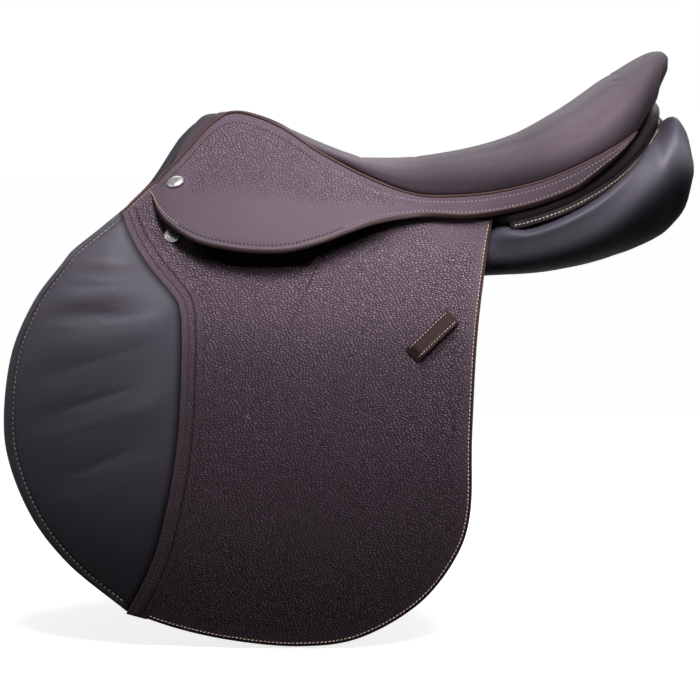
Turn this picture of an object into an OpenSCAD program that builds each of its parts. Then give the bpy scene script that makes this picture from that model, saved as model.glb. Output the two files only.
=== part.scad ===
// Close-contact jumping saddle, shown at rest with its flaps hanging.
// X runs from the pommel back to the cantle, Y to the horse's right, Z up.
// The origin is on the midline, level with the panels' bearing line, under the seat's lowest point.

/* [Seat] */
// Length of the seat from the pommel nose to the cantle tip
seat_l = 402; // [385:1:420]
// Width of the seat across the cantle
seat_w = 280; // [264:1:296]
// Height of the pommel over the bearing line
pommel_h = 137; // [131:1:143]
// Height of the lowest point of the seat
seat_low_h = 96; // [92:1:100]
// Height of the cantle
cantle_h = 189; // [180:1:200]
// Lowest height of the welt between the seat and the skirts
welt_h = 66; // [64:0.5:68]
// Depth of the dish across the back of the seat
dish_d = 9; // [4:0.5:12]
// Thickness of the seat hide
cover_t = 3; // [2:0.25:4]
// Thickness of the seat foam along the middle
foam_t = 14; // [10:0.5:17]
// Diameter of the welt cord
welt_d = 4; // [3:0.25:5]
// Radius of the padded facing round the pommel arch
facing_r = 9; // [7:0.25:10]
// Thickness of padded pieces at their sewn edges
edge_t = 1.2; // [1:0.1:1.5]

/* [Tree] */
// Thickness of the rails and the cantle of the tree
rail_t = 9; // [7:0.25:10]
// Thickness of the tree's head
head_t = 12; // [10:0.25:13]
// Length of the tree's head, front to back
head_l = 26; // [22:0.5:28]
// Thickness of the steel plate under the head
plate_t = 3; // [2:0.25:3.5]

/* [Flaps and skirts] */
// Height of the line that the flap folds on
fold_z = 12; // [9:0.5:15]
// Half width of the saddle over that line
fold_w = 126; // [122:0.5:130]
// Width of the flap, front to back
flap_w = 403; // [392:1:414]
// Length of the flap below its fold
flap_l = 310; // [290:1:330]
// Thickness of the flap leather
flap_t = 5; // [4:0.25:5.5]
// Thickness of the skirt leather
skirt_t = 4; // [3:0.25:4.5]
// How far the skirt stands off the flap over the stirrup bar
skirt_stand = 18; // [17:0.25:20]
// Height of the line that the skirt lobe folds on
lobe_fold_z = 50; // [48:0.5:52]
// Lowest height of the skirt lobe
lobe_z = 21; // [20:0.5:23]
// Width of the skirt strip beside the cantle
strip_w = 16; // [13:0.5:17]
// Crown of the padded knee part of the flap
pad_crown = 11; // [7:0.5:14]
// Length of the strap keeper on the flap
keeper_l = 46; // [40:1:54]
// Width of the strap keeper
keeper_w = 15; // [12:0.5:18]
// Thickness of the strap keeper
keeper_t = 2.5; // [2:0.25:3]
// Height of the loop under the strap keeper
keeper_gap = 5.2; // [4.5:0.1:6]

/* [Girth straps] */
// Width of a girth strap
billet_w = 25; // [22:0.5:27]
// Length of a girth strap
billet_l = 235; // [210:1:255]
// Thickness of a girth strap
billet_t = 4; // [3:0.25:4.5]
// Distance between neighbouring girth straps
billet_pitch = 36; // [34:0.5:37]
// Radius of the buckle holes in a girth strap
hole_r = 2.5; // [2:0.1:3]
// Distance between buckle holes
hole_pitch = 22; // [20:0.5:24]
// Thickness of the buckle guard
guard_t = 2.5; // [2:0.25:3]

/* [Panels] */
// Half width of the channel between the panels
channel_w = 33; // [31:0.5:35]
// Diameter of the roll under the cantle
roll_d = 16; // [14:0.5:17]
// Thickness of the sweat flap
sweat_t = 3.5; // [2.5:0.25:4]
// How far the knee block pushes the sweat flap in
knee_dip = 15; // [12:0.5:18]

/* [Stirrup bars] */
// Length of the stirrup bar from its neck to the catch
bar_l = 56; // [50:0.5:58]
// Thickness of the bar
bar_t = 5; // [4:0.25:5.5]
// Height of the bar
bar_h = 10; // [8:0.5:12]
// Slot between the bar and its plate, for the stirrup leather
slot_w = 7; // [6:0.25:7.5]
// Diameter of the catch pin
pin_d = 3; // [2.5:0.1:3.5]
// Thickness of the plate behind the bar
bar_plate_t = 3; // [2:0.25:3.5]
// Height of that plate
bar_plate_h = 22; // [18:0.5:24]
// Length of the neck that joins the bar to its plate
neck_l = 11; // [9:0.5:12]
// Length of the turning catch
catch_l = 17; // [15:0.5:19]

/* [Nails] */
// Diameter of a nail head
nail_d = 15; // [12:0.5:17]
// Height of a nail head
nail_h = 3.2; // [2.5:0.1:4]

/* [Hidden] */
$fn = 32;

// Clearance between pieces that touch on the real saddle
clear = 0.3;
// Gap between the leather layers under the flap
layer_gap = 0.9;
// Overrun of every cut
overrun = 1;

// Shares of the seat length: lowest point, end of the pommel, end of the strip and start of the rounding
low_share = 0.403;
head_share = 0.05;
strip_end_share = 0.908;
nose_share = 0.04;
tail_share = 0.2;
nose_x = -low_share * seat_l;

// Middle line of the seat: share of its length, then shares of the rises to the pommel and to the cantle
crest_shares = [[0, 0.78, 0], [0.03, 0.97, 0], [0.055, 1, 0], [0.09, 1, 0], [0.16, 0.74, 0], [0.25, 0.34, 0],
    [0.33, 0.06, 0], [0.4, 0, 0], [0.47, 0, 0.02], [0.58, 0, 0.13], [0.68, 0, 0.295], [0.77, 0, 0.53],
    [0.87, 0, 0.82], [0.95, 0, 0.985], [0.985, 0, 1], [1, 0, 0.95]];
// Welt line, in the same shares over the welt's lowest height
welt_shares = [[0, 0.82, 0], [0.05, 0.965, 0], [0.09, 0.97, 0], [0.165, 0.815, 0], [0.255, 0.49, 0],
    [0.365, 0.18, 0], [0.45, 0.02, 0], [0.51, 0, 0], [0.6, 0, 0.025], [0.7, 0, 0.1], [0.79, 0, 0.22],
    [0.885, 0, 0.39], [0.945, 0, 0.555], [0.98, 0, 0.68], [1, 0, 0.91]];
// Half width of the seat as a share of its widest half
width_shares = [[0, 0.11], [0.05, 0.12], [0.09, 0.155], [0.165, 0.257], [0.255, 0.37], [0.365, 0.53],
    [0.42, 0.61], [0.51, 0.75], [0.605, 0.87], [0.7, 0.97], [0.77, 1], [1, 1]];
// Lower edge of the skirt lobe: share of the skirt length, then of the rise from its lowest point to its tip
lobe_shares = [[0, 1], [0.017, 0.69], [0.044, 0.45], [0.1, 0.185], [0.165, 0.053], [0.229, 0], [0.292, 0.02],
    [0.359, 0.163], [0.413, 0.327], [0.474, 0.48], [0.548, 0.57], [0.62, 0.605]];
// Front edge of the skirt, from its tip to the pommel
edge_shares = [[0, 0], [0.13, 0.16], [0.4, 0.43], [0.6, 0.65], [0.8, 0.86], [1, 1]];
// Outline of the flap below its fold, from its back top corner round to its front: shares of width and length
flap_shares = [[0.011, 0], [0.03, 0.2], [0.041, 0.45], [0.045, 0.65], [0.075, 0.77], [0.15, 0.89],
    [0.27, 0.978], [0.39, 1], [0.53, 0.985], [0.66, 0.948], [0.76, 0.895], [0.86, 0.795], [0.935, 0.68],
    [0.985, 0.54], [1, 0.415], [0.985, 0.24], [0.94, 0.1], [0.883, 0]];
// Outline of the padded knee part, from the foot of its front edge round to the foot of its back edge
pad_front_shares = [[0.757, 0.888], [0.855, 0.786], [0.927, 0.675], [0.976, 0.54], [0.99, 0.415],
    [0.975, 0.245], [0.93, 0.105], [0.875, 0]];
pad_back_shares = [[0.703, 0], [0.665, 0.061], [0.635, 0.13], [0.629, 0.26], [0.64, 0.48], [0.662, 0.66],
    [0.7, 0.8], [0.738, 0.888]];
// Front edge of the flap over the fold: share of the flap width, then of the rise to the skirt tip
brow_shares = [[0.883, 0], [0.861, 0.19], [0.811, 0.47], [0.764, 0.74], [0.72, 0.9]];

function clamp01(a) = min(1, max(0, a));
function smooth(a) = let (c = clamp01(a)) c * c * (3 - 2 * c);
function mix(a, b, s) = a + (b - a) * s;
function column(t, c) = [for (r = t) [r[0], r[c]]];
function flat(rows) = [for (r = rows) each r];
// Slope of a table at one of its rows, the row below a place, and a smooth curve through the table
function slope(t, i) = let (a = max(0, i - 1), b = min(len(t) - 1, i + 1))
    (t[b][1] - t[a][1]) / (t[b][0] - t[a][0]);
function below(t, x, i = 0) = i >= len(t) - 2 || x < t[i + 1][0] ? i : below(t, x, i + 1);
function curve(t, x) = x <= t[0][0] ? t[0][1] : x >= t[len(t) - 1][0] ? t[len(t) - 1][1] :
    let (i = below(t, x), h = t[i + 1][0] - t[i][0], s = (x - t[i][0]) / h, q = 1 - s)
    t[i][1] * (1 + 2 * s) * q * q + slope(t, i) * h * s * q * q
    + t[i + 1][1] * s * s * (3 - 2 * s) - slope(t, i + 1) * h * s * s * q;
// Smooth path through points, with n steps between neighbours and the last point left out
function through(p, n) = [for (i = [0 : len(p) - 2], j = [0 : n - 1])
    let (s = j / n, a = p[max(0, i - 1)], b = p[i], c = p[i + 1], d = p[min(len(p) - 1, i + 2)])
    b + (c - a) * s / 2 + (2 * a - 5 * b + 4 * c - d) * s * s / 2 + (3 * b - a - 3 * c + d) * s * s * s / 2];

// Places along the seat
function x_at(u) = nose_x + u * seat_l;
function u_at(x) = (x - nose_x) / seat_l;
function crest(u) = seat_low_h + (pommel_h - seat_low_h) * curve(column(crest_shares, 1), u)
    + (cantle_h - seat_low_h) * curve(column(crest_shares, 2), u);
function welt_z(u) = welt_h + (pommel_h - welt_h) * curve(column(welt_shares, 1), u)
    + (cantle_h - welt_h) * curve(column(welt_shares, 2), u);
function tail_round(u) = sqrt(1 - pow(clamp01((u - 1 + tail_share) / tail_share), 2));
function nose_round(u) = sqrt(1 - pow(clamp01((nose_share - u) / nose_share), 2));
function body_w(u) = seat_w / 2 * curve(width_shares, u) * tail_round(u);
// At the pommel the seat lies between the skirts, so it is narrower there by their thickness
function half_w(u) = (body_w(u) - (skirt_t + 2 * clear) * (1 - smooth((u - 0.3) * 8))) * nose_round(u);

// The flap lines up with the seat by its back top corner
flap_rear_share = 0.607;
flap_rear_x = x_at(flap_rear_share);
flap_front_x = flap_rear_x - flap_w;
bow_d = flap_w / 40;
bow_x = flap_rear_x - 0.35 * flap_w;
rear_rise = fold_w / 7;
rear_run = seat_l / 8;
// Outward slope of the hanging flap, and how sharply the side turns in under the welt
flare_share = 0.2;
shoulder_share = 1.5;

// Half width of the flap's outer face, the surface that every layer of the side is measured from
function bow(x, z) = bow_d * pow(clamp01((bow_x - x) / (bow_x - flap_front_x)), 2)
    * clamp01((fold_z - z) * 2 / flap_l);
function side_y(x, z) = let (u = min(1, max(head_share, u_at(x))), zt = welt_z(u),
    fw = fold_w + rear_rise * smooth((x - flap_rear_x) / rear_run), t = clamp01((z - fold_z) / (zt - fold_z)))
    fw - flare_share * (z - fold_z) - bow(x, z)
    - (fw - flare_share * (zt - fold_z) - body_w(u)) * pow(t, shoulder_share);

// Skirt: tip in front, top edge along the pommel and the welt, lower edge round the lobe and the strip
tip_share = -0.102;
tip_x = x_at(tip_share);
tip_z = mix(lobe_z, pommel_h, 0.425);
skirt_end_x = x_at(strip_end_share);
skirt_l = skirt_end_x - tip_x;
head_x = x_at(head_share);
lobe_end_x = x_at(0.378);
rear_stand = skirt_stand / 2;
function skirt_top_z(x) = x < head_x
    ? tip_z + (welt_z(head_share) - tip_z) * curve(edge_shares, (x - tip_x) / (head_x - tip_x))
    : welt_z(u_at(x));
function strip_z(x) = welt_z(u_at(x)) - skirt_t / 4
    - strip_w * sqrt(clamp01((skirt_end_x - x) * 3 / skirt_l));
function skirt_low_z(x) = mix(lobe_z + (tip_z - lobe_z) * curve(lobe_shares, (x - tip_x) / skirt_l),
    strip_z(x), smooth((x - 0.25 * flap_rear_x) / (0.6 * flap_rear_x)));
function stand(x, z) = mix(skirt_stand, rear_stand, smooth((x - lobe_end_x) / (flap_rear_x - lobe_end_x)))
    * (1 - smooth((x - flap_rear_x) / rear_run))
    * (1 - pow(clamp01((z - fold_z) / (skirt_top_z(x) - fold_z)), 3));

// Stations that the skirt and its welt share
function steps(a, b, n) = [for (i = [0 : n]) mix(a, b, i / n)];
skirt_xs = concat(steps(tip_x + skirt_t / 2, head_x, 7), steps(x_at(head_share + 0.026), lobe_end_x, 11),
    steps(lobe_end_x + clear, skirt_end_x, 17));

// Closed sheet between two grids of points, outer and inner
module slab(outer, inner) {
    n = len(outer);
    m = len(outer[0]);
    k = n * m;
    polyhedron(concat(flat(outer), flat(inner)), concat(
        [for (i = [0 : n - 2], j = [0 : m - 2]) each [[i * m + j, i * m + j + 1, i * m + m + j],
            [i * m + j + 1, i * m + m + j + 1, i * m + m + j]]],
        [for (i = [0 : n - 2], j = [0 : m - 2]) each [[k + i * m + j, k + i * m + m + j, k + i * m + j + 1],
            [k + i * m + j + 1, k + i * m + m + j, k + i * m + m + j + 1]]],
        [for (i = [0 : n - 2]) each [[i * m, i * m + m, k + i * m], [i * m + m, k + i * m + m, k + i * m]]],
        [for (i = [0 : n - 2]) let (e = m - 1) each [[i * m + e, k + i * m + e, i * m + m + e],
            [i * m + m + e, k + i * m + e, k + i * m + m + e]]],
        [for (j = [0 : m - 2]) each [[j, k + j, j + 1], [j + 1, k + j, k + j + 1]]],
        [for (j = [0 : m - 2]) let (e = (n - 1) * m) each [[e + j, e + j + 1, k + e + j],
            [e + j + 1, k + e + j + 1, k + e + j]]]));
}

// Closed sheet from rings round a middle point, outer rings then inner ones, edge last
module disc(outer, inner) {
    n = len(outer);
    m = len(outer[0]);
    k = n * m;
    mid_o = 2 * k;
    mid_i = 2 * k + 1;
    mean = [for (g = [outer[0], inner[0]]) [for (a = [0 : 2]) [for (p = g) p[a]] * [for (p = g) 1] / m]];
    polyhedron(concat(flat(outer), flat(inner), mean), concat(
        [for (j = [0 : m - 1]) let (q = (j + 1) % m) [mid_o, j, q]],
        [for (j = [0 : m - 1]) let (q = (j + 1) % m) [mid_i, k + q, k + j]],
        [for (i = [0 : max(0, n - 2)], j = [0 : m - 1]) if (n > 1) let (q = (j + 1) % m) each
            [[i * m + j, i * m + m + j, i * m + q], [i * m + q, i * m + m + j, i * m + m + q]]],
        [for (i = [0 : max(0, n - 2)], j = [0 : m - 1]) if (n > 1) let (q = (j + 1) % m) each
            [[k + i * m + j, k + i * m + q, k + i * m + m + j],
            [k + i * m + q, k + i * m + m + q, k + i * m + m + j]]],
        [for (j = [0 : m - 1]) let (q = (j + 1) % m, e = (n - 1) * m) each
            [[e + j, k + e + j, e + q], [e + q, k + e + j, k + e + q]]]));
}

// Solid lofted through rings of points, closed at both ends
module loft(rings) {
    n = len(rings);
    m = len(rings[0]);
    mean = [for (g = [rings[0], rings[n - 1]]) [for (a = [0 : 2]) [for (p = g) p[a]] * [for (p = g) 1] / m]];
    polyhedron(concat(flat(rings), mean), concat(
        [for (i = [0 : n - 2], j = [0 : m - 1]) let (q = (j + 1) % m) each
            [[i * m + j, i * m + q, i * m + m + j], [i * m + q, i * m + m + q, i * m + m + j]]],
        [for (j = [0 : m - 1]) let (q = (j + 1) % m) [n * m, q == 0 ? 0 : q, j]],
        [for (j = [0 : m - 1]) let (q = (j + 1) % m, e = (n - 1) * m) [n * m + 1, e + j, e + q]]));
}

// Layers of the side, as distances out from the flap's outer face
guard_o = -(flap_t + layer_gap);
guard_i = guard_o - guard_t;
billet_o = guard_i - layer_gap;
billet_i = billet_o - billet_t;
sweat_o = billet_i - layer_gap;
sweat_i = sweat_o - sweat_t;
point_o = -2.2 * flap_t;
point_i = point_o - 1.2 * flap_t;

function at(x, z, off) = [x, -(side_y(x, z) + off), z];
// Grid over the side between two heights at each of the given stations
function side_grid(xs, m, lo, hi, off) = [for (x = xs) [for (j = [0 : m])
    let (z = mix(lo(x), hi(x), j / m)) at(x, z, off(x, z))]];
// Rings over the side inside a closed outline round a middle
function side_rings(outline, mid, radii, off) = [for (r = radii) [for (p = outline)
    let (q = mid + (p - mid) * r) at(q[0], q[1], off(q[0], q[1], r))]];
function flap_at(p) = [flap_rear_x - p[0] * flap_w, fold_z - p[1] * flap_l];

module right() {
    mirror([0, 1, 0]) children();
}

// Seat
rim_lift = welt_d + 4 * clear;
function rim_z(u) = min(welt_z(u) + rim_lift, crest(u) - 2 * cover_t);
function dish(u) = dish_d * smooth((u - 0.42) * 2.6) * (1 - smooth((u - 0.8) * 5));
function arch_share(u) = 0.5 + 0.25 * smooth((u - 0.5) * 3);
// Point of the seat's cross section, a share across from -1 to 1, with the surface moved in by t
function seat_at(u, s, t) = let (a = 90 * s, c = max(0, cos(a)), zr = rim_z(u))
    [x_at(u), (half_w(u) - t) * sin(a),
    zr + max(clear, crest(u) - t - zr) * pow(c, arch_share(u)) - dish(u) * pow(c, 4)];
seat_rows = [for (i = [0 : 30]) mix(0.003, 0.997, (1 - cos(6 * i)) / 2)];
across = [for (j = [-8 : 8]) j / 8];

module seat_cover() {
    color("#5a4d52") slab([for (u = seat_rows) [for (s = across) seat_at(u, s, 0)]],
        [for (u = seat_rows) [for (s = across) seat_at(u, s, cover_t)]]);
}

foam_end_share = 0.955;
function foam_z(u, s) = seat_at(u, s, cover_t + clear)[2] - foam_t * pow(max(0, cos(90 * s)), 0.8) - edge_t;
module seat_foam() {
    us = [for (u = seat_rows) if (u > head_share && u < foam_end_share) u];
    shares = [for (s = across) if (abs(s) < 1) s];
    color("#d9cf9a") slab([for (u = us) [for (s = shares) seat_at(u, s, cover_t + clear)]],
        [for (u = us) [for (s = shares) let (p = seat_at(u, s, cover_t + clear))
            [p[0], p[1], foam_z(u, s)]]]);
}

// Tree: rails under the foam's edges, a cantle behind, a head in front
rail_share = 0.62;
rail_end_share = 0.8;
function rail_y(u) = rail_share * half_w(u);
function rail_w(u) = min(4 / 3 * rail_t, 0.3 * half_w(u));
function under_foam(x, y) = let (u = u_at(x))
    foam_z(u, asin(min(1, max(-1, y / half_w(u)))) / 90) - 2 * clear;
function rail_z(u) = min(under_foam(x_at(u), rail_y(u) - rail_w(u)),
    under_foam(x_at(u), rail_y(u) + rail_w(u)));
module left_tree_rail() {
    us = steps(0.13, rail_end_share, 16);
    color("#c49a62") loft([for (u = us) let (y = rail_y(u), w = rail_w(u), z = rail_z(u), x = x_at(u))
        [[x, -y - w, z], [x, -y + w, z], [x, -y + w, z - rail_t], [x, -y - w, z - rail_t]]]);
}
module right_tree_rail() {
    right() left_tree_rail();
}
module tree_cantle() {
    yc = rail_y(rail_end_share);
    w = rail_w(rail_end_share);
    run = (strip_end_share - rail_end_share) * seat_l - w - 3 * clear;
    color("#c49a62") loft([for (a = steps(-90, 90, 16))
        let (x = x_at(rail_end_share) + clear + cos(a) * run,
            z = min([for (c = [-w, 0, w]) under_foam(x + c * cos(a), (yc + c) * sin(a))]))
        [for (c = [[-w, 0], [-w, -1], [w, -1], [w, 0]])
            [x + c[0] * cos(a), (yc + c[0]) * sin(a), z + c[1] * rail_t]]]);
}
arch_w = 0.54 * fold_w;
arch_top = crest(0.13) - cover_t - clear - foam_t - edge_t - head_t / 2 - clear;
arch_drop = arch_top - 0.98 * (tip_z + head_t / 2);
function arch_z(s) = arch_top - arch_drop * pow(abs(s), 1.7);
function arch_x(s) = head_x + head_l / 2 + facing_r / 2 - head_t * abs(s);
function arch_ring(s, o, i, l) = let (d = 0.02, g = [2 * d * arch_w, arch_z(s + d) - arch_z(s - d)],
    n = [-g[1], g[0]] / norm(g), c = [arch_x(s), s * arch_w, arch_z(s)])
    [for (e = [[-l / 2, o], [-l / 2, i], [l / 2, i], [l / 2, o]]) c + [e[0], n[0] * e[1], n[1] * e[1]]];
module tree_head() {
    color("#c49a62") loft([for (s = steps(-1, 1, 16)) arch_ring(s, head_t / 2, -head_t / 2, head_l)]);
}
module head_plate() {
    color("#8d9096") loft([for (s = steps(-0.96, 0.96, 14))
        arch_ring(s, -head_t / 2 - clear, -head_t / 2 - clear - plate_t, head_l * 0.85)]);
}
point_low_z = fold_z + 3.8 * flap_t;
point_top_z = tip_z + 0.22 * head_t;
point_end_x = x_at(0.234);
module left_tree_point() {
    xs = steps(tip_x + 1.5 * head_t, point_end_x, 10);
    low = function (x) point_low_z;
    top = function (x) point_top_z;
    color("#c49a62") slab(side_grid(xs, 3, low, top, function (x, z) point_o),
        side_grid(xs, 3, low, top, function (x, z) point_i));
}
module right_tree_point() {
    right() left_tree_point();
}
module seat_web() {
    us = steps(0.15, rail_end_share - 0.04, 16);
    color("#b9a98a") slab(
        [for (u = us) [for (j = [-2 : 2]) let (y = (rail_y(u) - rail_w(u) - layer_gap) * j / 2,
            s = asin(y / half_w(u)) / 90) [x_at(u), y, foam_z(u, s) - 2.5 * clear]]],
        [for (u = us) [for (j = [-2 : 2]) let (y = (rail_y(u) - rail_w(u) - layer_gap) * j / 2,
            s = asin(y / half_w(u)) / 90) [x_at(u), y, foam_z(u, s) - 2.5 * clear - layer_gap]]]);
}

// Tube round a path
function tube_ring(c, t, r, m) = let (k = t / norm(t), a = cross(k, [0, 0, 1]), b = a / norm(a),
    d = cross(b, k))
    [for (j = [0 : m - 1]) c + r * (cos(360 * j / m) * b + sin(360 * j / m) * d)];
module tube(path, r, m) {
    n = len(path);
    loft([for (i = [0 : n - 1]) tube_ring(path[i], path[min(n - 1, i + 1)] - path[max(0, i - 1)], r, m)]);
}
module left_seat_welt() {
    xs = [for (x = skirt_xs) if (x > tip_x + skirt_t) x];
    function lift(x) = (welt_d / 2 + 2 * clear) * (x > head_x ? 1 : 1.5);
    path = [for (x = xs) at(x, skirt_top_z(x), -skirt_t / 2) + [0, 0, lift(x)]];
    color("#6b463c") tube(path, welt_d / 2, 6);
}
module right_seat_welt() {
    right() left_seat_welt();
}

// Back of the cantle, the roll under it and the rim of the front arch
module cantle_facing() {
    us = [for (u = seat_rows) if (u > strip_end_share) u];
    function facing_y(u, j) = (half_w(u) - cover_t - 2 * clear) * j / 5;
    color("#57494e") slab(
        [for (u = us) [for (j = [-5 : 5]) [x_at(u), facing_y(u, j), rim_z(u) + cover_t / 2]]],
        [for (u = us) [for (j = [-5 : 5]) [x_at(u), facing_y(u, j), rim_z(u)]]]);
}
// Rise of the roll, the panels and the channel with the cantle, as a share of the cantle's rise over the welt
lift_shares = [[0.5, 0], [0.6, 0.025], [0.7, 0.1], [0.79, 0.22], [0.885, 0.39], [0.945, 0.5], [1, 0.55]];
function lift_z(u) = (cantle_h - welt_h) * curve(lift_shares, u);
// Path of the roll: shares of the seat length, of its half width and of the welt height
roll_shares = [[0.62, 0.83, 0.72], [0.674, 0.88, 0.704], [0.746, 0.91, 0.684], [0.818, 0.88, 0.705],
    [0.866, 0.81, 0.77], [0.908, 0.68, 0.9], [0.943, 0.48, 0.985], [0.962, 0.25, 1.03], [0.968, 0, 1.05]];
function roll_at(p, side) = [x_at(p[0]), side * p[1] * seat_w / 2, p[2] * welt_h + lift_z(p[0])];
module cantle_roll() {
    left = [for (p = roll_shares) roll_at(p, -1)];
    all = concat(left, [for (i = [len(roll_shares) - 2 : -1 : 0]) roll_at(roll_shares[i], 1)]);
    color("#3a3235") tube(concat(through(all, 3), [all[len(all) - 1]]), roll_d / 2, 10);
}
facing_end = -0.3;
function facing_at(q) = let (x = mix(tip_x, head_x, q), rise = welt_z(head_share) - tip_z,
    z = (q < 0 ? tip_z + q * rise : skirt_top_z(x)) - facing_r * mix(0.6, 2.35, max(0, q)))
    [x - 0.8 * facing_r, -(side_y(x, z) - 1.95 * facing_r), z];
module pommel_facing() {
    left = [for (q = steps(facing_end, 1, 8)) facing_at(q)];
    top = [left[8][0] - facing_r / 3, 0, left[8][2] + facing_r * 0.2];
    all = concat(left, [top], [for (i = [8 : -1 : 0]) [left[i][0], -left[i][1], left[i][2]]]);
    path = concat(through(all, 2), [all[len(all) - 1]]);
    n = len(path);
    color("#4d4247") loft([for (i = [0 : n - 1]) let (t = path[min(n - 1, i + 1)] - path[max(0, i - 1)],
        e = [0, -t[2], t[1]] / norm([t[1], t[2]]), r = facing_r * mix(0.4, 1, smooth(min(i, n - 1 - i) / 5)))
        [for (j = [0 : 9]) path[i] + r * (cos(36 * j) * [1, 0, 0] + sin(36 * j) * e)]]);
}

// Skirt
function skirt_fixed_z(x) = x > lobe_end_x ? skirt_low_z(x) : max(lobe_fold_z + clear / 2, skirt_low_z(x));
module left_skirt() {
    low = function (x) skirt_fixed_z(x);
    top = function (x) skirt_top_z(x);
    color("#6b5a60") slab(side_grid(skirt_xs, 4, low, top, function (x, z) stand(x, z)),
        side_grid(skirt_xs, 4, low, top, function (x, z) stand(x, z) - skirt_t));
}
module right_skirt() {
    right() left_skirt();
}
lobe_xs = steps(tip_x + 0.03 * skirt_l, lobe_end_x, 18);
function lobe_low_z(x) = min(skirt_low_z(x), lobe_fold_z - skirt_t / 4);
module left_skirt_lobe() {
    low = function (x) lobe_low_z(x);
    top = function (x) lobe_fold_z - clear / 2;
    color("#6b5a60") slab(side_grid(lobe_xs, 3, low, top, function (x, z) stand(x, z)),
        side_grid(lobe_xs, 3, low, top, function (x, z) stand(x, z) - skirt_t));
}
module right_skirt_lobe() {
    right() left_skirt_lobe();
}

// Flap over its fold, notched at its top for the stirrup bar
notch_x0 = x_at(0.055);
notch_x1 = x_at(0.24);
notch_z = fold_z + 1.8 * flap_t;
brow_rows = [for (r = brow_shares) [-r[0], r[1]]];
function brow_z(x) = fold_z + (tip_z - fold_z) * curve(brow_rows, (x - flap_rear_x) / flap_w);
function top_z(x) = min(brow_z(x), mix(fold_z, skirt_top_z(max(x, tip_x)), 0.72), mix(fold_z, tip_z, 0.8));
function flap_top_z(x) = x < tip_x ? brow_z(x) : x > notch_x0 && x < notch_x1 ? notch_z : top_z(x);
flap_top_x0 = flap_rear_x - 0.88 * flap_w;
flap_top_x1 = flap_rear_x - 0.012 * flap_w;
top_xs = concat(steps(flap_top_x0 + flap_t / 2, tip_x, 6), steps(tip_x + 3 * flap_t, notch_x0, 3),
    steps(notch_x0 + clear, notch_x1 - clear, 3), steps(notch_x1, flap_top_x1, 6));
module left_flap_top() {
    low = function (x) fold_z + clear / 2;
    top = function (x) flap_top_z(x);
    color("#63545a") slab(side_grid(top_xs, 3, low, top, function (x, z) 0),
        side_grid(top_xs, 3, low, top, function (x, z) -flap_t));
}
module right_flap_top() {
    right() left_flap_top();
}
// Padded knee part over the fold
pad_top_x0 = flap_rear_x - 0.862 * flap_w;
pad_top_x1 = flap_rear_x - 0.71 * flap_w;
pad_peak_x = flap_rear_x - 0.764 * flap_w;
function pad_top_z(x) = min(brow_z(x) - flap_t / 2,
    fold_z + 3 * clear
    + (brow_z(pad_peak_x) - fold_z) * clamp01((pad_top_x1 - x) / (pad_top_x1 - pad_peak_x)));
function pad_top_off(x, v) = 1.5 * clear + edge_t
    + pad_crown * 0.5 * sin(180 * v) * sin(180 * (x - pad_top_x0) / (pad_top_x1 - pad_top_x0));
module left_knee_pad_top() {
    xs = steps(pad_top_x0, pad_top_x1, 8);
    rows = steps(0, 1, 4);
    color("#57535a") slab(
        [for (x = xs) [for (v = rows) at(x, mix(fold_z + clear / 2, pad_top_z(x), v), pad_top_off(x, v))]],
        [for (x = xs) [for (v = rows) at(x, mix(fold_z + clear / 2, pad_top_z(x), v), 1.5 * clear)]]);
}
module right_knee_pad_top() {
    right() left_knee_pad_top();
}

// Flap below its fold, its padded knee part and its keeper
flap_curve = concat(through([for (p = flap_shares) flap_at(p)], 3),
    [flap_at(flap_shares[len(flap_shares) - 1])]);
function fold_row(a, b, n) = [for (i = [1 : n - 1]) [mix(a, b, i / n), fold_z - clear / 2]];
function sunk(outline) = [for (p = outline) [p[0], min(p[1], fold_z - clear / 2)]];
flap_outline = sunk(concat(flap_curve, fold_row(flap_curve[len(flap_curve) - 1][0], flap_curve[0][0], 8)));
flap_mid = flap_at([0.5, 0.42]);
module left_flap() {
    radii = [0.35, 0.65, 0.88, 0.985, 1];
    color("#63545a") disc(
        side_rings(flap_outline, flap_mid, radii, function (x, z, r) r < 1 ? 0 : -flap_t / 4),
        side_rings(flap_outline, flap_mid, radii, function (x, z, r) -flap_t + (r < 1 ? 0 : flap_t / 4)));
}
module right_flap() {
    right() left_flap();
}
pad_front = through([for (p = pad_front_shares) flap_at(p)], 3);
pad_back = through([for (p = pad_back_shares) flap_at(p)], 3);
pad_fold = fold_row(flap_at(pad_front_shares[7])[0], flap_at(pad_back_shares[0])[0], 5);
pad_outline = sunk(concat(pad_front, pad_fold, pad_back, [flap_at(pad_back_shares[7])]));
pad_mid = flap_at([0.8, 0.4]);
module left_knee_pad() {
    radii = [0.25, 0.5, 0.72, 0.9, 1];
    color("#57535a") disc(
        side_rings(pad_outline, pad_mid, radii,
            function (x, z, r) clear + edge_t + pad_crown * pow(1 - r * r, 0.8)),
        side_rings(pad_outline, pad_mid, radii, function (x, z, r) clear));
}
module right_knee_pad() {
    right() left_knee_pad();
}

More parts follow.
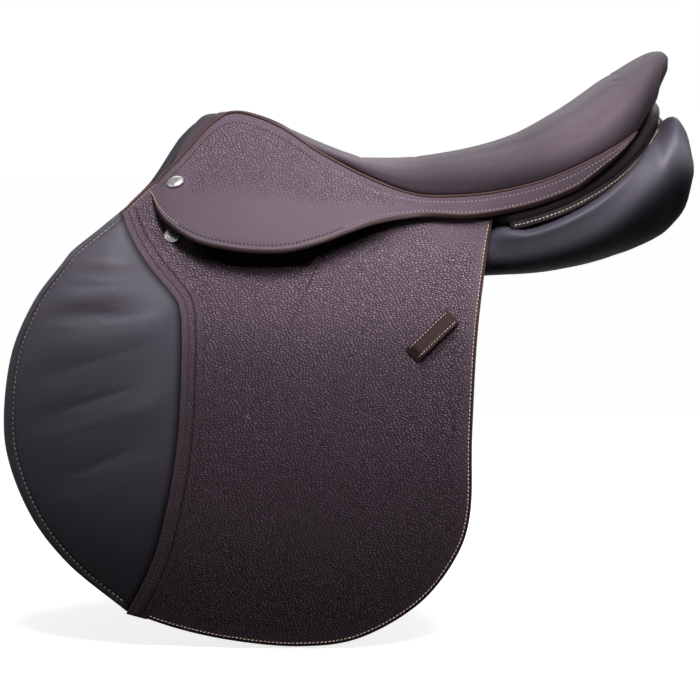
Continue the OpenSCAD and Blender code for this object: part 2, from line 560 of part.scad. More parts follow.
// Everything flat that hangs below the fold is drawn on the flap's plane: along, up, out
hang_a = atan(flare_share);
hang_share = cos(hang_a);
module hang(x, off) {
    translate([x, -fold_w, fold_z])
        rotate([90 - hang_a, 0, 0])
            translate([0, 0, off * hang_share]) children();
}
keeper_x = flap_rear_x - 0.122 * flap_w;
keeper_v = -0.189 * flap_l / hang_share;
keeper_turn = 43.5;
module left_keeper() {
    end = keeper_l / 2;
    foot = keeper_w / 2;
    crown = keeper_gap + keeper_t;
    color("#63545a") hang(keeper_x, clear) translate([0, keeper_v, 0])
        rotate([0, 0, keeper_turn]) translate([0, keeper_w / 2, 0])
            rotate([90, 0, 0]) linear_extrude(keeper_w)
                polygon([[-end, 0], [-end + foot / 2, 0], [-end + foot, keeper_gap], [end - foot, keeper_gap],
                    [end - foot / 2, 0], [end, 0], [end - foot / 3, crown], [-end + foot / 3, crown]]);
}
module right_keeper() {
    right() left_keeper();
}

// Sweat flap, bulging in behind the knee block
function dip(x, z) = let (c = flap_at([0.8, 0.35]), a = (x - c[0]) / (0.27 * flap_w),
    b = (z - c[1]) / (0.5 * flap_l)) knee_dip * pow(max(0, 1 - a * a - b * b), 2);
sweat_mid = flap_at([0.5, 0.36]);
sweat_top_z = fold_z + 3.6 * flap_t;
sweat_curve = [for (p = through([for (p = flap_shares) flap_at(p)], 2)) sweat_mid + (p - sweat_mid) * 0.93];
sweat_outline = concat(sweat_curve, [for (s = steps(0.82, 0.08, 8)) [flap_rear_x - s * flap_w, sweat_top_z]]);
module left_sweat_flap() {
    radii = [0.3, 0.55, 0.78, 1];
    color("#4a3f42") disc(
        side_rings(sweat_outline, sweat_mid, radii, function (x, z, r) sweat_o - dip(x, z)),
        side_rings(sweat_outline, sweat_mid, radii, function (x, z, r) sweat_i - dip(x, z)));
}
module right_sweat_flap() {
    right() left_sweat_flap();
}
block_shares = [[0.71, 0.13], [0.71, 0.25], [0.73, 0.4], [0.755, 0.55], [0.81, 0.63], [0.87, 0.57],
    [0.895, 0.43], [0.885, 0.28], [0.835, 0.13], [0.76, 0.075], [0.71, 0.13]];
block_mid = flap_at([0.8, 0.35]);
block_outline = through([for (p = block_shares) flap_at(p)], 2);
module left_knee_block() {
    radii = [0.4, 0.8, 1];
    color("#46403f") disc(
        side_rings(block_outline, block_mid, radii, function (x, z, r) guard_o - (r < 1 ? 0 : guard_t)),
        side_rings(block_outline, block_mid, radii,
            function (x, z, r) sweat_o - 0.75 * dip(x, z) + 3 * clear));
}
module right_knee_block() {
    right() left_knee_block();
}

// Panel: shares of the seat length, of the welt height for its middle, of the fold's half width for its
// half width, of the welt height for its half depth, then its lean in degrees
panel_shares = [[-0.129, 0.82, 0.2, 0.07, 48], [-0.105, 0.82, 0.27, 0.136, 48], [-0.02, 0.76, 0.31, 0.16, 47],
    [0.105, 0.59, 0.29, 0.2, 38], [0.254, 0.455, 0.275, 0.273, 25], [0.403, 0.364, 0.265, 0.333, 15],
    [0.552, 0.315, 0.29, 0.318, 12], [0.652, 0.241, 0.365, 0.318, 9], [0.751, 0.168, 0.4, 0.38, 7],
    [0.851, 0.102, 0.39, 0.49, 5], [0.925, 0.157, 0.35, 0.624, 2], [0.955, 0.232, 0.325, 0.621, 1],
    [0.988, 0.315, 0.28, 0.65, 0], [1.022, 0.318, 0.19, 0.41, 0], [1.038, 0.318, 0.05, 0.1, 0]];
panel_end_share = 0.29;
// Forward rake of the panel's front end, which follows the front arch
panel_rake = 0.8;
function swell(a) = sign(a) * pow(abs(a), 0.65);
function panel_ring(u) = let (z = welt_h * curve(column(panel_shares, 1), u) + lift_z(u),
    a = fold_w * curve(column(panel_shares, 2), u),
    b = welt_h * curve(column(panel_shares, 3), u),
    k = curve(column(panel_shares, 4), u),
    y = channel_w + (u > 0.9 ? max(a, panel_end_share * fold_w) : a) * cos(k),
    rake = panel_rake * (1 - smooth(4 * u + 0.4)))
    [for (j = [0 : 19])
        let (p = a * swell(cos(18 * j)), q = b * swell(sin(18 * j)), h = q * cos(k) - p * sin(k))
        [x_at(u) + rake * h, -(y + p * cos(k) + q * sin(k)), z + h]];
module left_panel() {
    us = concat(steps(-0.129, -0.105, 2), steps(-0.07, 0.925, 20),
        [0.955, 0.988, 1.008, 1.022, 1.032, 1.038]);
    color("#4b484f") loft([for (u = us) panel_ring(u)]);
}
module right_panel() {
    right() left_panel();
}
// Strip over the channel: shares of the seat length, of the welt height for its middle and for its crown
lining_shares = [[-0.07, 1.38, 0.2], [0, 1.4, 0.2], [0.105, 1.26, 0.16], [0.254, 0.88, 0.08],
    [0.403, 0.68, 0.04], [0.552, 0.602, 0.03], [0.652, 0.553, 0.03], [0.751, 0.548, 0.03],
    [0.851, 0.59, 0.03], [0.93, 0.713, 0.03]];
module channel_lining() {
    us = steps(-0.07, 0.93, 16);
    function lining_z(u, s) = lift_z(u)
        + welt_h * (curve(column(lining_shares, 1), u) - curve(column(lining_shares, 2), u) * s * s);
    function lining_at(u, j, t) = [x_at(u), 0.94 * channel_w * j / 3, lining_z(u, j / 3) - t];
    color("#3f3638") slab([for (u = us) [for (j = [-3 : 3]) lining_at(u, j, 0)]],
        [for (u = us) [for (j = [-3 : 3]) lining_at(u, j, layer_gap)]]);
}

// Girth straps, the web they hang on and the guard outside them
billet_x = x_at(0.373);
billet_top = billet_w / 6;
web_x0 = billet_x - billet_pitch - billet_w / 2;
web_x1 = billet_x + billet_pitch + billet_w / 2;
module left_girth_web() {
    xs = steps(web_x0, web_x1, 4);
    z0 = fold_z + billet_top + clear;
    function rail_end(x, share) = let (u = u_at(x))
        [x, -(rail_y(u) + rail_w(u) + clear), rail_z(u) - rail_t * share];
    function row(x, off, share) = concat([for (s = steps(0, 1, 3)) at(x, mix(z0, 0.87 * welt_h, s), off)],
        [rail_end(x, share)]);
    color("#cfc6b0") slab([for (x = xs) row(x, billet_o - layer_gap / 2, 0.5)],
        [for (x = xs) row(x, billet_o - 2 * layer_gap, 0.75)]);
}
module right_girth_web() {
    right() left_girth_web();
}
module billet(x) {
    w = billet_w / 2;
    color("#54423c") hang(x, billet_i) linear_extrude(billet_t * hang_share) difference() {
        polygon([[-w, billet_top], [w, billet_top], [w, w - billet_l], [w / 3, -billet_l],
            [-w / 3, -billet_l], [-w, w - billet_l]]);
        for (i = [0 : 6]) translate([0, 1.2 * billet_w - billet_l + i * hole_pitch]) circle(hole_r);
    }
}
module left_front_billet() {
    billet(billet_x - billet_pitch);
}
module left_middle_billet() {
    billet(billet_x);
}
module left_rear_billet() {
    billet(billet_x + billet_pitch);
}
module right_front_billet() {
    right() left_front_billet();
}
module right_middle_billet() {
    right() left_middle_billet();
}
module right_rear_billet() {
    right() left_rear_billet();
}
module left_buckle_guard() {
    w = billet_pitch + 0.8 * billet_w;
    l = 3.6 * billet_w;
    color("#5b4a45") hang(billet_x, guard_i) linear_extrude(guard_t * hang_share)
        polygon([[-w, 0], [w, 0], [w, w / 2 - l], [w / 1.4, -l], [-w / 1.4, -l], [-w, w / 2 - l]]);
}
module right_buckle_guard() {
    right() left_buckle_guard();
}

// Stirrup bar, drawn on the plane of the side at its middle: along, up, out
bar_x = x_at(0.146);
bar_z = mix(notch_z, lobe_fold_z, 0.55);
bar_lean = atan((side_y(bar_x, bar_z - overrun) - side_y(bar_x, bar_z + overrun)) / (2 * overrun));
bar_foot = point_o * cos(bar_lean) + 2 * clear;
lap_t = (bar_t - clear) / 2;
pin_x = bar_l / 2 + neck_l / 2;
module on_bar() {
    translate([bar_x, -side_y(bar_x, bar_z), bar_z])
        rotate([90 - bar_lean, 0, 0])
            translate([0, 0, bar_foot]) children();
}
bar_o = bar_plate_t + slot_w;
module left_stirrup_bar() {
    color("#9a9da3") on_bar() difference() {
        union() {
            translate([-pin_x, -bar_plate_h / 2, 0]) cube([2 * pin_x, bar_plate_h, bar_plate_t]);
            translate([-pin_x, -bar_h / 2, 0]) cube([neck_l, bar_h, bar_o + bar_t]);
            translate([-pin_x, -bar_h / 2, bar_o]) cube([2 * pin_x - bar_h / 2, bar_h, bar_t]);
            translate([pin_x, 0, bar_o]) cylinder(r = bar_h / 2, h = lap_t);
            translate([pin_x - bar_h, -bar_h / 2, bar_o]) cube([bar_h, bar_h, lap_t]);
        }
        translate([pin_x, 0, bar_o + lap_t]) cylinder(r = bar_h / 2 + 2 * clear, h = bar_t);
        translate([pin_x, 0, bar_o - overrun]) cylinder(r = pin_d / 2 + clear / 6, h = bar_t + 2 * overrun);
    }
}
module right_stirrup_bar() {
    right() left_stirrup_bar();
}
module left_bar_catch() {
    color("#b4b7bd") on_bar() translate([pin_x, 0, bar_o + lap_t + clear]) difference() {
        union() {
            cylinder(r = bar_h / 2, h = lap_t);
            translate([0, -bar_h / 2, 0]) cube([catch_l - bar_h / 2, bar_h, lap_t]);
            translate([catch_l - bar_h / 2, 0, 0]) cylinder(r = bar_h / 2, h = lap_t);
        }
        translate([0, 0, -overrun]) cylinder(r = pin_d / 2 + clear, h = lap_t + 2 * overrun);
    }
}
module right_bar_catch() {
    right() left_bar_catch();
}
module left_catch_pin() {
    color("#7d8086") on_bar() translate([pin_x, 0, bar_o]) cylinder(r = pin_d / 2, h = bar_t);
}
module right_catch_pin() {
    right() left_catch_pin();
}

// Domed nails, standing square on the leather
module nail(d) {
    color("#c9c9c6") {
        rotate_extrude() polygon([[0, 0], [d / 2, 0], [d / 2.1, nail_h / 3], [d / 2.6, 0.7 * nail_h],
            [d / 5, 0.95 * nail_h], [0, nail_h]]);
        translate([0, 0, -skirt_t]) cylinder(r = d / 12, h = skirt_t + nail_h / 3);
    }
}
module place_nail(x, z, s) {
    e = overrun;
    function face(x, z) = side_y(x, z) + s * stand(x, z);
    g = [-(face(x + e, z) - face(x - e, z)) / (2 * e), -1, -(face(x, z + e) - face(x, z - e)) / (2 * e)];
    n = g / norm(g);
    translate([x, -face(x, z), z] + clear * n) rotate([0, acos(n[2]), atan2(n[1], n[0])]) children();
}
skirt_nail_x = x_at(-0.048);
skirt_nail_z = mix(tip_z, skirt_top_z(skirt_nail_x), 0.3);
flap_nail_x = flap_rear_x - 0.658 * flap_w;
flap_nail_z = mix(fold_z, lobe_fold_z, 0.58);
module skirt_nails() {
    place_nail(skirt_nail_x, skirt_nail_z, 1) nail(nail_d);
    right() place_nail(skirt_nail_x, skirt_nail_z, 1) nail(nail_d);
}
module flap_nails() {
    place_nail(flap_nail_x, flap_nail_z, 0) nail(nail_d * 0.87);
    right() place_nail(flap_nail_x, flap_nail_z, 0) nail(nail_d * 0.87);
}

seat_cover();
seat_foam();
seat_web();
cantle_facing();
cantle_roll();
pommel_facing();
tree_head();
tree_cantle();
head_plate();
channel_lining();
skirt_nails();
flap_nails();
left_tree_rail();
right_tree_rail();
left_tree_point();
right_tree_point();
left_seat_welt();
right_seat_welt();
left_skirt();
right_skirt();
left_skirt_lobe();
right_skirt_lobe();
left_flap_top();
right_flap_top();
left_knee_pad_top();
right_knee_pad_top();
left_flap();
right_flap();
left_knee_pad();
right_knee_pad();
left_keeper();
right_keeper();
left_knee_block();
right_knee_block();
left_sweat_flap();
right_sweat_flap();
left_panel();
right_panel();
left_girth_web();
right_girth_web();
left_buckle_guard();
right_buckle_guard();
left_front_billet();
right_front_billet();
left_middle_billet();
right_middle_billet();
left_rear_billet();
right_rear_billet();
left_stirrup_bar();
right_stirrup_bar();
left_bar_catch();
right_bar_catch();
left_catch_pin();
right_catch_pin();
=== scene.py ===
import math

import bpy
import numpy as np
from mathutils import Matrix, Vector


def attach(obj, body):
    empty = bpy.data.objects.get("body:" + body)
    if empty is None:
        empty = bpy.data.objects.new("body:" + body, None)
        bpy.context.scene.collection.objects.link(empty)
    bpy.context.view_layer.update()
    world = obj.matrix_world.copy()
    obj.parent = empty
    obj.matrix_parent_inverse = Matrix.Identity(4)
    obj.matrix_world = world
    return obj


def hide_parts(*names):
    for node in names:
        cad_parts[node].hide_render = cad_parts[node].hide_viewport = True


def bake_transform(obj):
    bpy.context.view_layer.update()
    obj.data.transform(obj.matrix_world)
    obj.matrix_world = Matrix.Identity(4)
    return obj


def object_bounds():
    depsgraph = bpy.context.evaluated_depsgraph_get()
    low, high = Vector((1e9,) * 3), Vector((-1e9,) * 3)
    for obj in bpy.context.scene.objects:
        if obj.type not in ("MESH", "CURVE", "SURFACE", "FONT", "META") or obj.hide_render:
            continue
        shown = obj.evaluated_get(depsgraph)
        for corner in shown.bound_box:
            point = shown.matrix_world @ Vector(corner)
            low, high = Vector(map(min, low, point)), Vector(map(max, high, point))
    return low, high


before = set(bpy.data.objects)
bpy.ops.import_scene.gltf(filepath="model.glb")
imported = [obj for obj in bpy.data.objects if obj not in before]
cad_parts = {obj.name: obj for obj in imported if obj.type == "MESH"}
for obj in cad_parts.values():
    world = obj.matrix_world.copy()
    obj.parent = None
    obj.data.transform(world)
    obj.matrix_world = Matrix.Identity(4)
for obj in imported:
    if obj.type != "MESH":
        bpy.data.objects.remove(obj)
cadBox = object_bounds()
mm = 0.001
tiny = 1e-9
sides = {"left": -1, "right": 1}


def clamp01(a):
    return np.clip(a, 0.0, 1.0)


# eased step from 0 to 1
def smooth(a):
    c = clamp01(a)
    return c * c * (3 - 2 * c)


# eased step that begins at start and is done after run
def ramp(a, start, run):
    return smooth((a - start) / run)


def mix(a, b, s):
    return a + (b - a) * s


# bell of height 1 and the given half width
def bell(a, half):
    return np.exp(-(a / half) ** 2)


def unit(v):
    return v / np.maximum(np.linalg.norm(v, axis=-1, keepdims=True), tiny)


# power that keeps the sign, for squarish sections
def signedPower(v, power):
    return np.sign(v) * np.abs(v) ** power


# angles of count points evenly round a section
def anglesRound(count):
    return np.linspace(0, 2 * np.pi, count, endpoint=False)


# cubic through the rows of a table, with slopes taken from the neighbouring rows
def curve(rows, x, column=1):
    t = np.asarray(rows, float)
    xs, ys = t[:, 0], t[:, column]
    k = np.arange(len(xs))
    before, after = np.maximum(k - 1, 0), np.minimum(k + 1, len(xs) - 1)
    slope = (ys[after] - ys[before]) / (xs[after] - xs[before])
    x = np.clip(x, xs[0], xs[-1])
    i = np.clip(np.searchsorted(xs, x, side="right") - 1, 0, len(xs) - 2)
    h = xs[i + 1] - xs[i]
    s = (x - xs[i]) / h
    q = 1 - s
    return (ys[i] * (1 + 2 * s) * q * q + slope[i] * h * s * q * q
            + ys[i + 1] * s * s * (3 - 2 * s) - slope[i + 1] * h * s * s * q)


# length run along a polyline up to each of its points
def runAlong(p):
    return np.concatenate([[0], np.cumsum(np.linalg.norm(np.diff(p, axis=0), axis=1))])


# columns of v, known at the lengths in run, read off at other lengths
def readAt(at, run, v):
    return np.stack([np.interp(at, run, v[:, c]) for c in range(v.shape[1])], axis=1)


# even steps along a polyline
def evenSteps(points, step):
    p = np.asarray(points, float)
    run = runAlong(p)
    count = max(2, int(round(run[-1] / step)) + 1)
    return readAt(np.linspace(0, run[-1], count), run, p)


# smooth path through given points: Catmull-Rom spans, then even steps
def pathThrough(points, step, spanSteps=24):
    p = np.asarray(points, float)
    a, b = np.vstack([p[:1], p[:-2]]), p[:-1]
    c, d = p[1:], np.vstack([p[2:], p[-1:]])
    s = np.linspace(0, 1, spanSteps, endpoint=False)[None, :, None]
    a, b, c, d = (q[:, None, :] for q in (a, b, c, d))
    spans = (b + (c - a) * s / 2 + (2 * a - 5 * b + 4 * c - d) * s * s / 2
             + (3 * b - a - 3 * c + d) * s ** 3 / 2)
    return evenSteps(np.vstack([spans.reshape(-1, p.shape[1]), p[-1:]]), step)


# unit direction along a path
def alongPath(path):
    return unit(np.gradient(np.asarray(path, float), axis=0))


# steps of a path counted from its nearer end
def fromEnds(path):
    k = np.arange(len(path))
    return np.minimum(k, k[::-1])


# shortest distance from each point to a polyline of dense points, worked out in batches
def nearestTo(points, line, batch=2000):
    flat = points.reshape(-1, points.shape[-1])
    gap = np.concatenate([np.sqrt(((part[:, None, :] - line[None]) ** 2).sum(-1)).min(1)
                          for part in np.array_split(flat, max(1, len(flat) // batch))])
    return gap.reshape(points.shape[:-1])


# quads of a grid of n rows and m columns, its columns joined round where asked
def gridQuads(n, m, roundColumns=False):
    i = np.arange(n - 1)[:, None] * m
    j = np.arange(m if roundColumns else m - 1)[None, :]
    j1 = (j + 1) % m
    return np.stack([i + j, i + j1, i + m + j1, i + m + j], axis=-1).reshape(-1, 4)


# fan from one point to a ring of m points
def fan(centre, first, m):
    j = np.arange(m)
    return np.stack([np.full(m, centre), first + j, first + (j + 1) % m], axis=-1)


# signed volume of a closed mesh: sum of tetrahedra from the origin
def signedVolume(points, faces):
    total = 0.0
    for block in faces:
        for k in range(1, block.shape[1] - 1):
            a, b, c = points[block[:, 0]], points[block[:, k]], points[block[:, k + 1]]
            total += np.einsum("ij,ij->", a, np.cross(b, c))
    return total


# mesh object from points in millimetres and blocks of faces, turned outwards, with values on its points
def putMesh(name, points, faces, finishes, finishOf=None, values=None):
    points = np.asarray(points, float).reshape(-1, 3)
    faces = [np.asarray(f, int) for f in faces if len(f)]
    if signedVolume(points, faces) < 0:
        faces = [f[:, ::-1] for f in faces]
    mesh = bpy.data.meshes.new(name)
    mesh.from_pydata((points * mm).tolist(), [], [r for f in faces for r in f.tolist()])
    for key in finishes:
        mesh.materials.append(finish[key])
    if finishOf is not None:
        mesh.polygons.foreach_set("material_index", np.concatenate(finishOf).astype(np.int32))
    for key, value in dict(dict(tone=1.0), **(values or {})).items():
        layer = mesh.attributes.new(key, "FLOAT", "POINT")
        layer.data.foreach_set("value", np.broadcast_to(value, len(points)).astype(np.float32))
    mesh.polygons.foreach_set("use_smooth", np.ones(len(mesh.polygons), bool))
    mesh.update()
    return putObject(name, mesh)


def putObject(name, data):
    obj = bpy.data.objects.new(name, data)
    bpy.context.collection.objects.link(obj)
    return obj


# faces of a grid of n closed rings of m points, with the two points after them fanned to its ends
def shutFaces(n, m):
    return [gridQuads(n, m, roundColumns=True), fan(n * m, 0, m)[:, ::-1], fan(n * m + 1, (n - 1) * m, m)]


# solid lofted through closed rings (n, m, 3), both ends fanned to their middles
def loft(rings):
    points = np.vstack([rings.reshape(-1, 3), rings[:1].mean(1), rings[-1:].mean(1)])
    return points, shutFaces(*rings.shape[:2])


# point values of such a solid: those of its rings, then one for both end points
def ended(values, end):
    return np.append(values, [end, end])


# rings of a round section carried along a path; radius is one for all or one for each point
def tubeRings(path, radius, count):
    t = alongPath(path)
    across = unit(np.cross(t, [0.0, 0.0, 1.0]))
    up = np.cross(across, t)
    a = anglesRound(count)[None, :, None]
    size = np.broadcast_to(np.asarray(radius, float), len(path))[:, None, None]
    return path[:, None] + size * (np.cos(a) * across[:, None] + np.sin(a) * up[:, None])


# hides the CAD nodes a piece stands for and sets it on the body it rides; the finish it is given is not used
def settle(piece, body, *nodes, finish=None):
    if nodes:
        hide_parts(*nodes)
    if body:
        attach(piece, body)
    return piece


padding = dict(pressure=4.0, mass=0.02, frames=20)
plumped = {}


# padding: how far each point moves when the piece's own mesh, as cloth sewn down where sewn is 1,
# is blown up from within without weight; each move is cut to the most it may be
def blowUp(piece, before, sewn, most):
    scene = bpy.context.scene
    twin = putObject(piece.name + "Cloth", piece.data.copy())
    group = twin.vertex_groups.new(name="sewn")
    levels = np.round(sewn, 1)
    for level in np.unique(levels[levels > 0]):
        group.add(np.flatnonzero(levels == level).tolist(), float(level), "REPLACE")
    cloth = twin.modifiers.new("cloth", "CLOTH").settings
    cloth.use_pressure = True
    cloth.uniform_pressure_force = padding["pressure"]
    cloth.effector_weights.gravity = 0.0
    cloth.vertex_group_mass = "sewn"
    cloth.mass = padding["mass"]
    for number in range(padding["frames"]):
        scene.frame_set(number + 1)
    after = np.empty_like(before)
    result = twin.evaluated_get(bpy.context.evaluated_depsgraph_get())
    result.data.vertices.foreach_get("co", after)
    data = twin.data
    bpy.data.objects.remove(twin)
    bpy.data.meshes.remove(data)
    scene.frame_set(1)
    step = (after - before).reshape(-1, 3).astype(float)
    far = np.linalg.norm(step, axis=1)
    print("plumped", piece.name, "largest", round(float(far.max()) / mm, 1),
          "middle", round(float(np.median(far)) / mm, 2))
    # the cut is soft, so that no ridge stands where it starts
    return step * (most * np.tanh(far / most) / np.maximum(far, tiny))[:, None]


# one side of a pair is blown up, and the other takes its mirror
def plump(piece, sewn, most, like):
    before = np.empty(len(piece.data.vertices) * 3, np.float32)
    piece.data.vertices.foreach_get("co", before)
    if like in plumped:
        step = plumped[like] * [1, -1, 1]
    else:
        step = plumped[like] = blowUp(piece, before, sewn, most * mm)
    piece.data.vertices.foreach_set("co", (before + step.ravel()).astype(np.float32))
    piece.data.update()


print("frame loaded, box", [[round(v, 4) for v in c] for c in cadBox])

# finishes: what the leathers share unless their own row says otherwise; cell, long and high shape the
# pebble, warp, fine and slow are scales of noise; deep is the painted shade in the pebble's valleys and lift
# the painted light where the pebble shows
hide = dict(flat=False, turn=0, long=1.1, dome=0.28, high=0.15, lift=0.0, deep=0.5, warp=260.0, bend=0.0004,
            fine=1500.0, fineHigh=0.16, slow=14.0, smoother=0.07, rougher=0.09)
leathers = {
    "grained": dict(base=(0.090, 0.065, 0.078), worn=(0.16, 0.11, 0.11), flat=True, cell=1.65, long=1.75,
                    turn=28, dome=0.32, high=1.05, lift=1.32, deep=0.24, rough=0.45, gloss=0.10,
                    blotch=0.12),
    "seat": dict(base=(0.105, 0.080, 0.094), worn=(0.12, 0.07, 0.06), cell=0.9, rough=0.5, gloss=0.10,
                 blotch=0.12),
    "calf": dict(base=(0.068, 0.063, 0.078), worn=(0.08, 0.05, 0.045), cell=0.9, rough=0.42, gloss=0.26,
                 blotch=0.14),
    "roll": dict(base=(0.016, 0.012, 0.014), worn=(0.05, 0.03, 0.03), cell=0.8, rough=0.4, gloss=0.10,
                 blotch=0.12),
    "edge": dict(base=(0.024, 0.011, 0.010), worn=(0.15, 0.08, 0.07), cell=0.7, long=3.0, rough=0.42,
                 gloss=0.14, blotch=0.2),
    "piping": dict(base=(0.080, 0.046, 0.041), worn=(0.14, 0.06, 0.05), cell=0.7, long=2.0, rough=0.4,
                   gloss=0.14, blotch=0.2),
    "strap": dict(base=(0.040, 0.023, 0.022), worn=(0.10, 0.058, 0.047), cell=1.1, long=1.4, high=0.4,
                  rough=0.5, gloss=0.12, blotch=0.2),
}


# material, its node tree, its main shader and the place of a point on the piece
def newFinish(name):
    m = bpy.data.materials.new(name)
    m.use_nodes = True
    tree = m.node_tree
    return m, tree, tree.nodes["Principled BSDF"], addNode(tree, "ShaderNodeTexCoord").outputs["Object"]


# a value or a link for each input, named or, as i0 or i1, numbered
def plug(tree, node, inputs):
    for key, value in inputs.items():
        socket = node.inputs[int(key[1:]) if key[1:].isdigit() else key]
        if isinstance(value, bpy.types.NodeSocket):
            tree.links.new(value, socket)
        else:
            socket.default_value = value
    return node


def addNode(tree, kind, settings=None, **inputs):
    node = tree.nodes.new(kind)
    for key, value in (settings or {}).items():
        setattr(node, key, value)
    return plug(tree, node, inputs)


def mathNode(tree, op, a, b):
    return addNode(tree, "ShaderNodeMath", dict(operation=op), i0=a, i1=b).outputs[0]


def mixColour(tree, share, a, b):
    return addNode(tree, "ShaderNodeMix", dict(data_type="RGBA"), i0=share, i6=a, i7=b).outputs[2]


def rgba(colour, share=1.0):
    return tuple(v * share for v in colour) + (1.0,)


def noise(tree, place, scale, detail, output="Fac"):
    return addNode(tree, "ShaderNodeTexNoise", Vector=place, Scale=scale, Detail=detail).outputs[output]


def bands(tree, place, way, scale, bend=0.0):
    return addNode(tree, "ShaderNodeTexWave", dict(bands_direction=way), Vector=place, Scale=scale,
                   Distortion=bend).outputs["Fac"]


def mapped(tree, value, ends, settings=None):
    node = addNode(tree, "ShaderNodeMapRange", settings, Value=value)
    return plug(tree, node, ends).outputs["Result"]


def bump(tree, strength, high, height):
    return addNode(tree, "ShaderNodeBump", Strength=strength, Distance=high, Height=height).outputs[0]


# leather: pebble cells warped by noise give height and valleys darkened with painted shade, slow noise gives
# the blotches, and the points' grain and wear values say where the pebble shows and where the edge is rubbed
def leather(name, own):
    look = dict(hide, **own)
    m, tree, bsdf, place = newFinish(name)
    sheet = place
    if look["flat"]:
        parts = addNode(tree, "ShaderNodeSeparateXYZ", Vector=place).outputs
        sheet = addNode(tree, "ShaderNodeCombineXYZ", X=parts["X"], Y=parts["Z"]).outputs[0]
    turned = addNode(tree, "ShaderNodeMapping", dict(vector_type="TEXTURE"), Vector=sheet,
                     Rotation=(0, 0, math.radians(look["turn"])), Scale=(look["long"], 1.0, 1.0)).outputs[0]
    bent = addNode(tree, "ShaderNodeVectorMath", dict(operation="MULTIPLY_ADD"),
                   i0=noise(tree, turned, look["warp"], 2.0, "Color"), i1=(look["bend"] * look["cell"],) * 3,
                   i2=turned).outputs[0]
    kind = dict(feature="DISTANCE_TO_EDGE", voronoi_dimensions="2D" if look["flat"] else "3D")
    cells = addNode(tree, "ShaderNodeTexVoronoi", kind, Vector=bent, Scale=1000.0 / look["cell"])
    pebble = mapped(tree, cells.outputs["Distance"], {"From Max": look["dome"]},
                    dict(interpolation_type="SMOOTHSTEP"))
    fine, slow = noise(tree, place, look["fine"], 3.0), noise(tree, place, look["slow"], 4.0)
    grain, worn, shade = (addNode(tree, "ShaderNodeAttribute", dict(attribute_name=key)).outputs["Fac"]
                          for key in ("grain", "wear", "tone"))
    shown = mathNode(tree, "MULTIPLY", pebble, grain)
    height = mathNode(tree, "ADD", shown, mathNode(tree, "MULTIPLY", fine, look["fineHigh"]))
    tone = mixColour(tree, slow, rgba(look["base"], 1 - look["blotch"]),
                     rgba(look["base"], 1 + look["blotch"]))
    # painted shade: the pebble's valleys are darker where the pebble shows
    valleyShade = mathNode(tree, "MULTIPLY", mathNode(tree, "SUBTRACT", 1.0, pebble), grain)
    tone = mixColour(tree, valleyShade, tone, rgba(look["base"], look["deep"]))
    tone = mixColour(tree, worn, tone, rgba(look["worn"]))
    # painted light: the colour is lifted where the pebble shows, making up for its painted valley shade, and
    # the points' tone scales it; on the seat, flaps, knee pads, bands and panels that tone is painted shade
    # and light
    pebbleLight = mathNode(tree, "ADD", mathNode(tree, "MULTIPLY", grain, look["lift"]), 1.0)
    shadedColour = addNode(tree, "ShaderNodeVectorMath", dict(operation="SCALE"), i0=tone,
                   Scale=mathNode(tree, "MULTIPLY", pebbleLight, shade)).outputs[0]
    rough = mapped(tree, slow, {"To Min": look["rough"] - look["smoother"],
                                "To Max": look["rough"] + look["rougher"]})
    # painted shade takes the shine away too
    shine = mathNode(tree, "MULTIPLY", mathNode(tree, "MINIMUM", shade, 1.0), look["gloss"])
    plug(tree, bsdf, {"Base Color": shadedColour, "Roughness": rough, "Specular IOR Level": shine,
                      "Normal": bump(tree, 1.0, look["high"] * mm, height)})
    return m


finish = {key: leather(key + "Leather", look) for key, look in leathers.items()}

threads = {"pale": dict(base=(0.50, 0.42, 0.31), rough=0.75),
           "dark": dict(base=(0.008, 0.005, 0.006), rough=0.8),
           "brown": dict(base=(0.10, 0.06, 0.05), rough=0.7),
           "grey": dict(base=(0.26, 0.21, 0.21), rough=0.75)}
twist = dict(scale=420.0, bend=1.5, dark=0.7, strength=0.4, high=0.2)


# twisted thread: fine diagonal bands along each stitch
def thread(name, look):
    m, tree, bsdf, place = newFinish(name)
    lay = bands(tree, place, "DIAGONAL", twist["scale"], twist["bend"])
    tone = mixColour(tree, lay, rgba(look["base"], twist["dark"]), rgba(look["base"]))
    plug(tree, bsdf, {"Base Color": tone, "Roughness": look["rough"],
                      "Normal": bump(tree, twist["strength"], twist["high"] * mm, lay)})
    return m


for key, look in threads.items():
    finish[key + "Thread"] = thread(key + "Thread", look)

metals = {"nickel": dict(base=(0.86, 0.85, 0.82), rough=0.26, scratch=0.1),
          "steel": dict(base=(0.42, 0.43, 0.45), rough=0.34, scratch=0.3)}
polish = dict(stretch=0.08, fine=2600.0, slow=160.0, dark=0.8, smoother=0.06, strength=0.15, high=0.1)


# place on the piece drawn out along x, for scratches and fibres
def stretched(tree, place, share):
    return addNode(tree, "ShaderNodeMapping", Vector=place, Scale=(share, 1.0, 1.0)).outputs[0]


# metal: fine scratches in the roughness and slow tarnish in the tone
def metal(name, look):
    m, tree, bsdf, place = newFinish(name)
    scratch = noise(tree, stretched(tree, place, polish["stretch"]), polish["fine"], 4.0)
    slow = noise(tree, place, polish["slow"], 3.0)
    rough = mapped(tree, scratch, {"To Min": look["rough"] - polish["smoother"],
                                   "To Max": look["rough"] + look["scratch"]})
    plug(tree, bsdf, {"Base Color": mixColour(tree, slow, rgba(look["base"], polish["dark"]),
                                              rgba(look["base"])),
                      "Roughness": rough, "Metallic": 1.0,
                      "Normal": bump(tree, polish["strength"], polish["high"] * mm, scratch)})
    return m


for key, look in metals.items():
    finish[key] = metal(key, look)

weave = dict(base=(0.55, 0.48, 0.36), dark=(0.30, 0.25, 0.18), scale=200.0, strength=0.6, high=0.4,
             rough=0.85)
wood = dict(base=(0.36, 0.22, 0.11), dark=(0.22, 0.12, 0.055), stretch=0.08, fibre=500.0, rough=0.6)


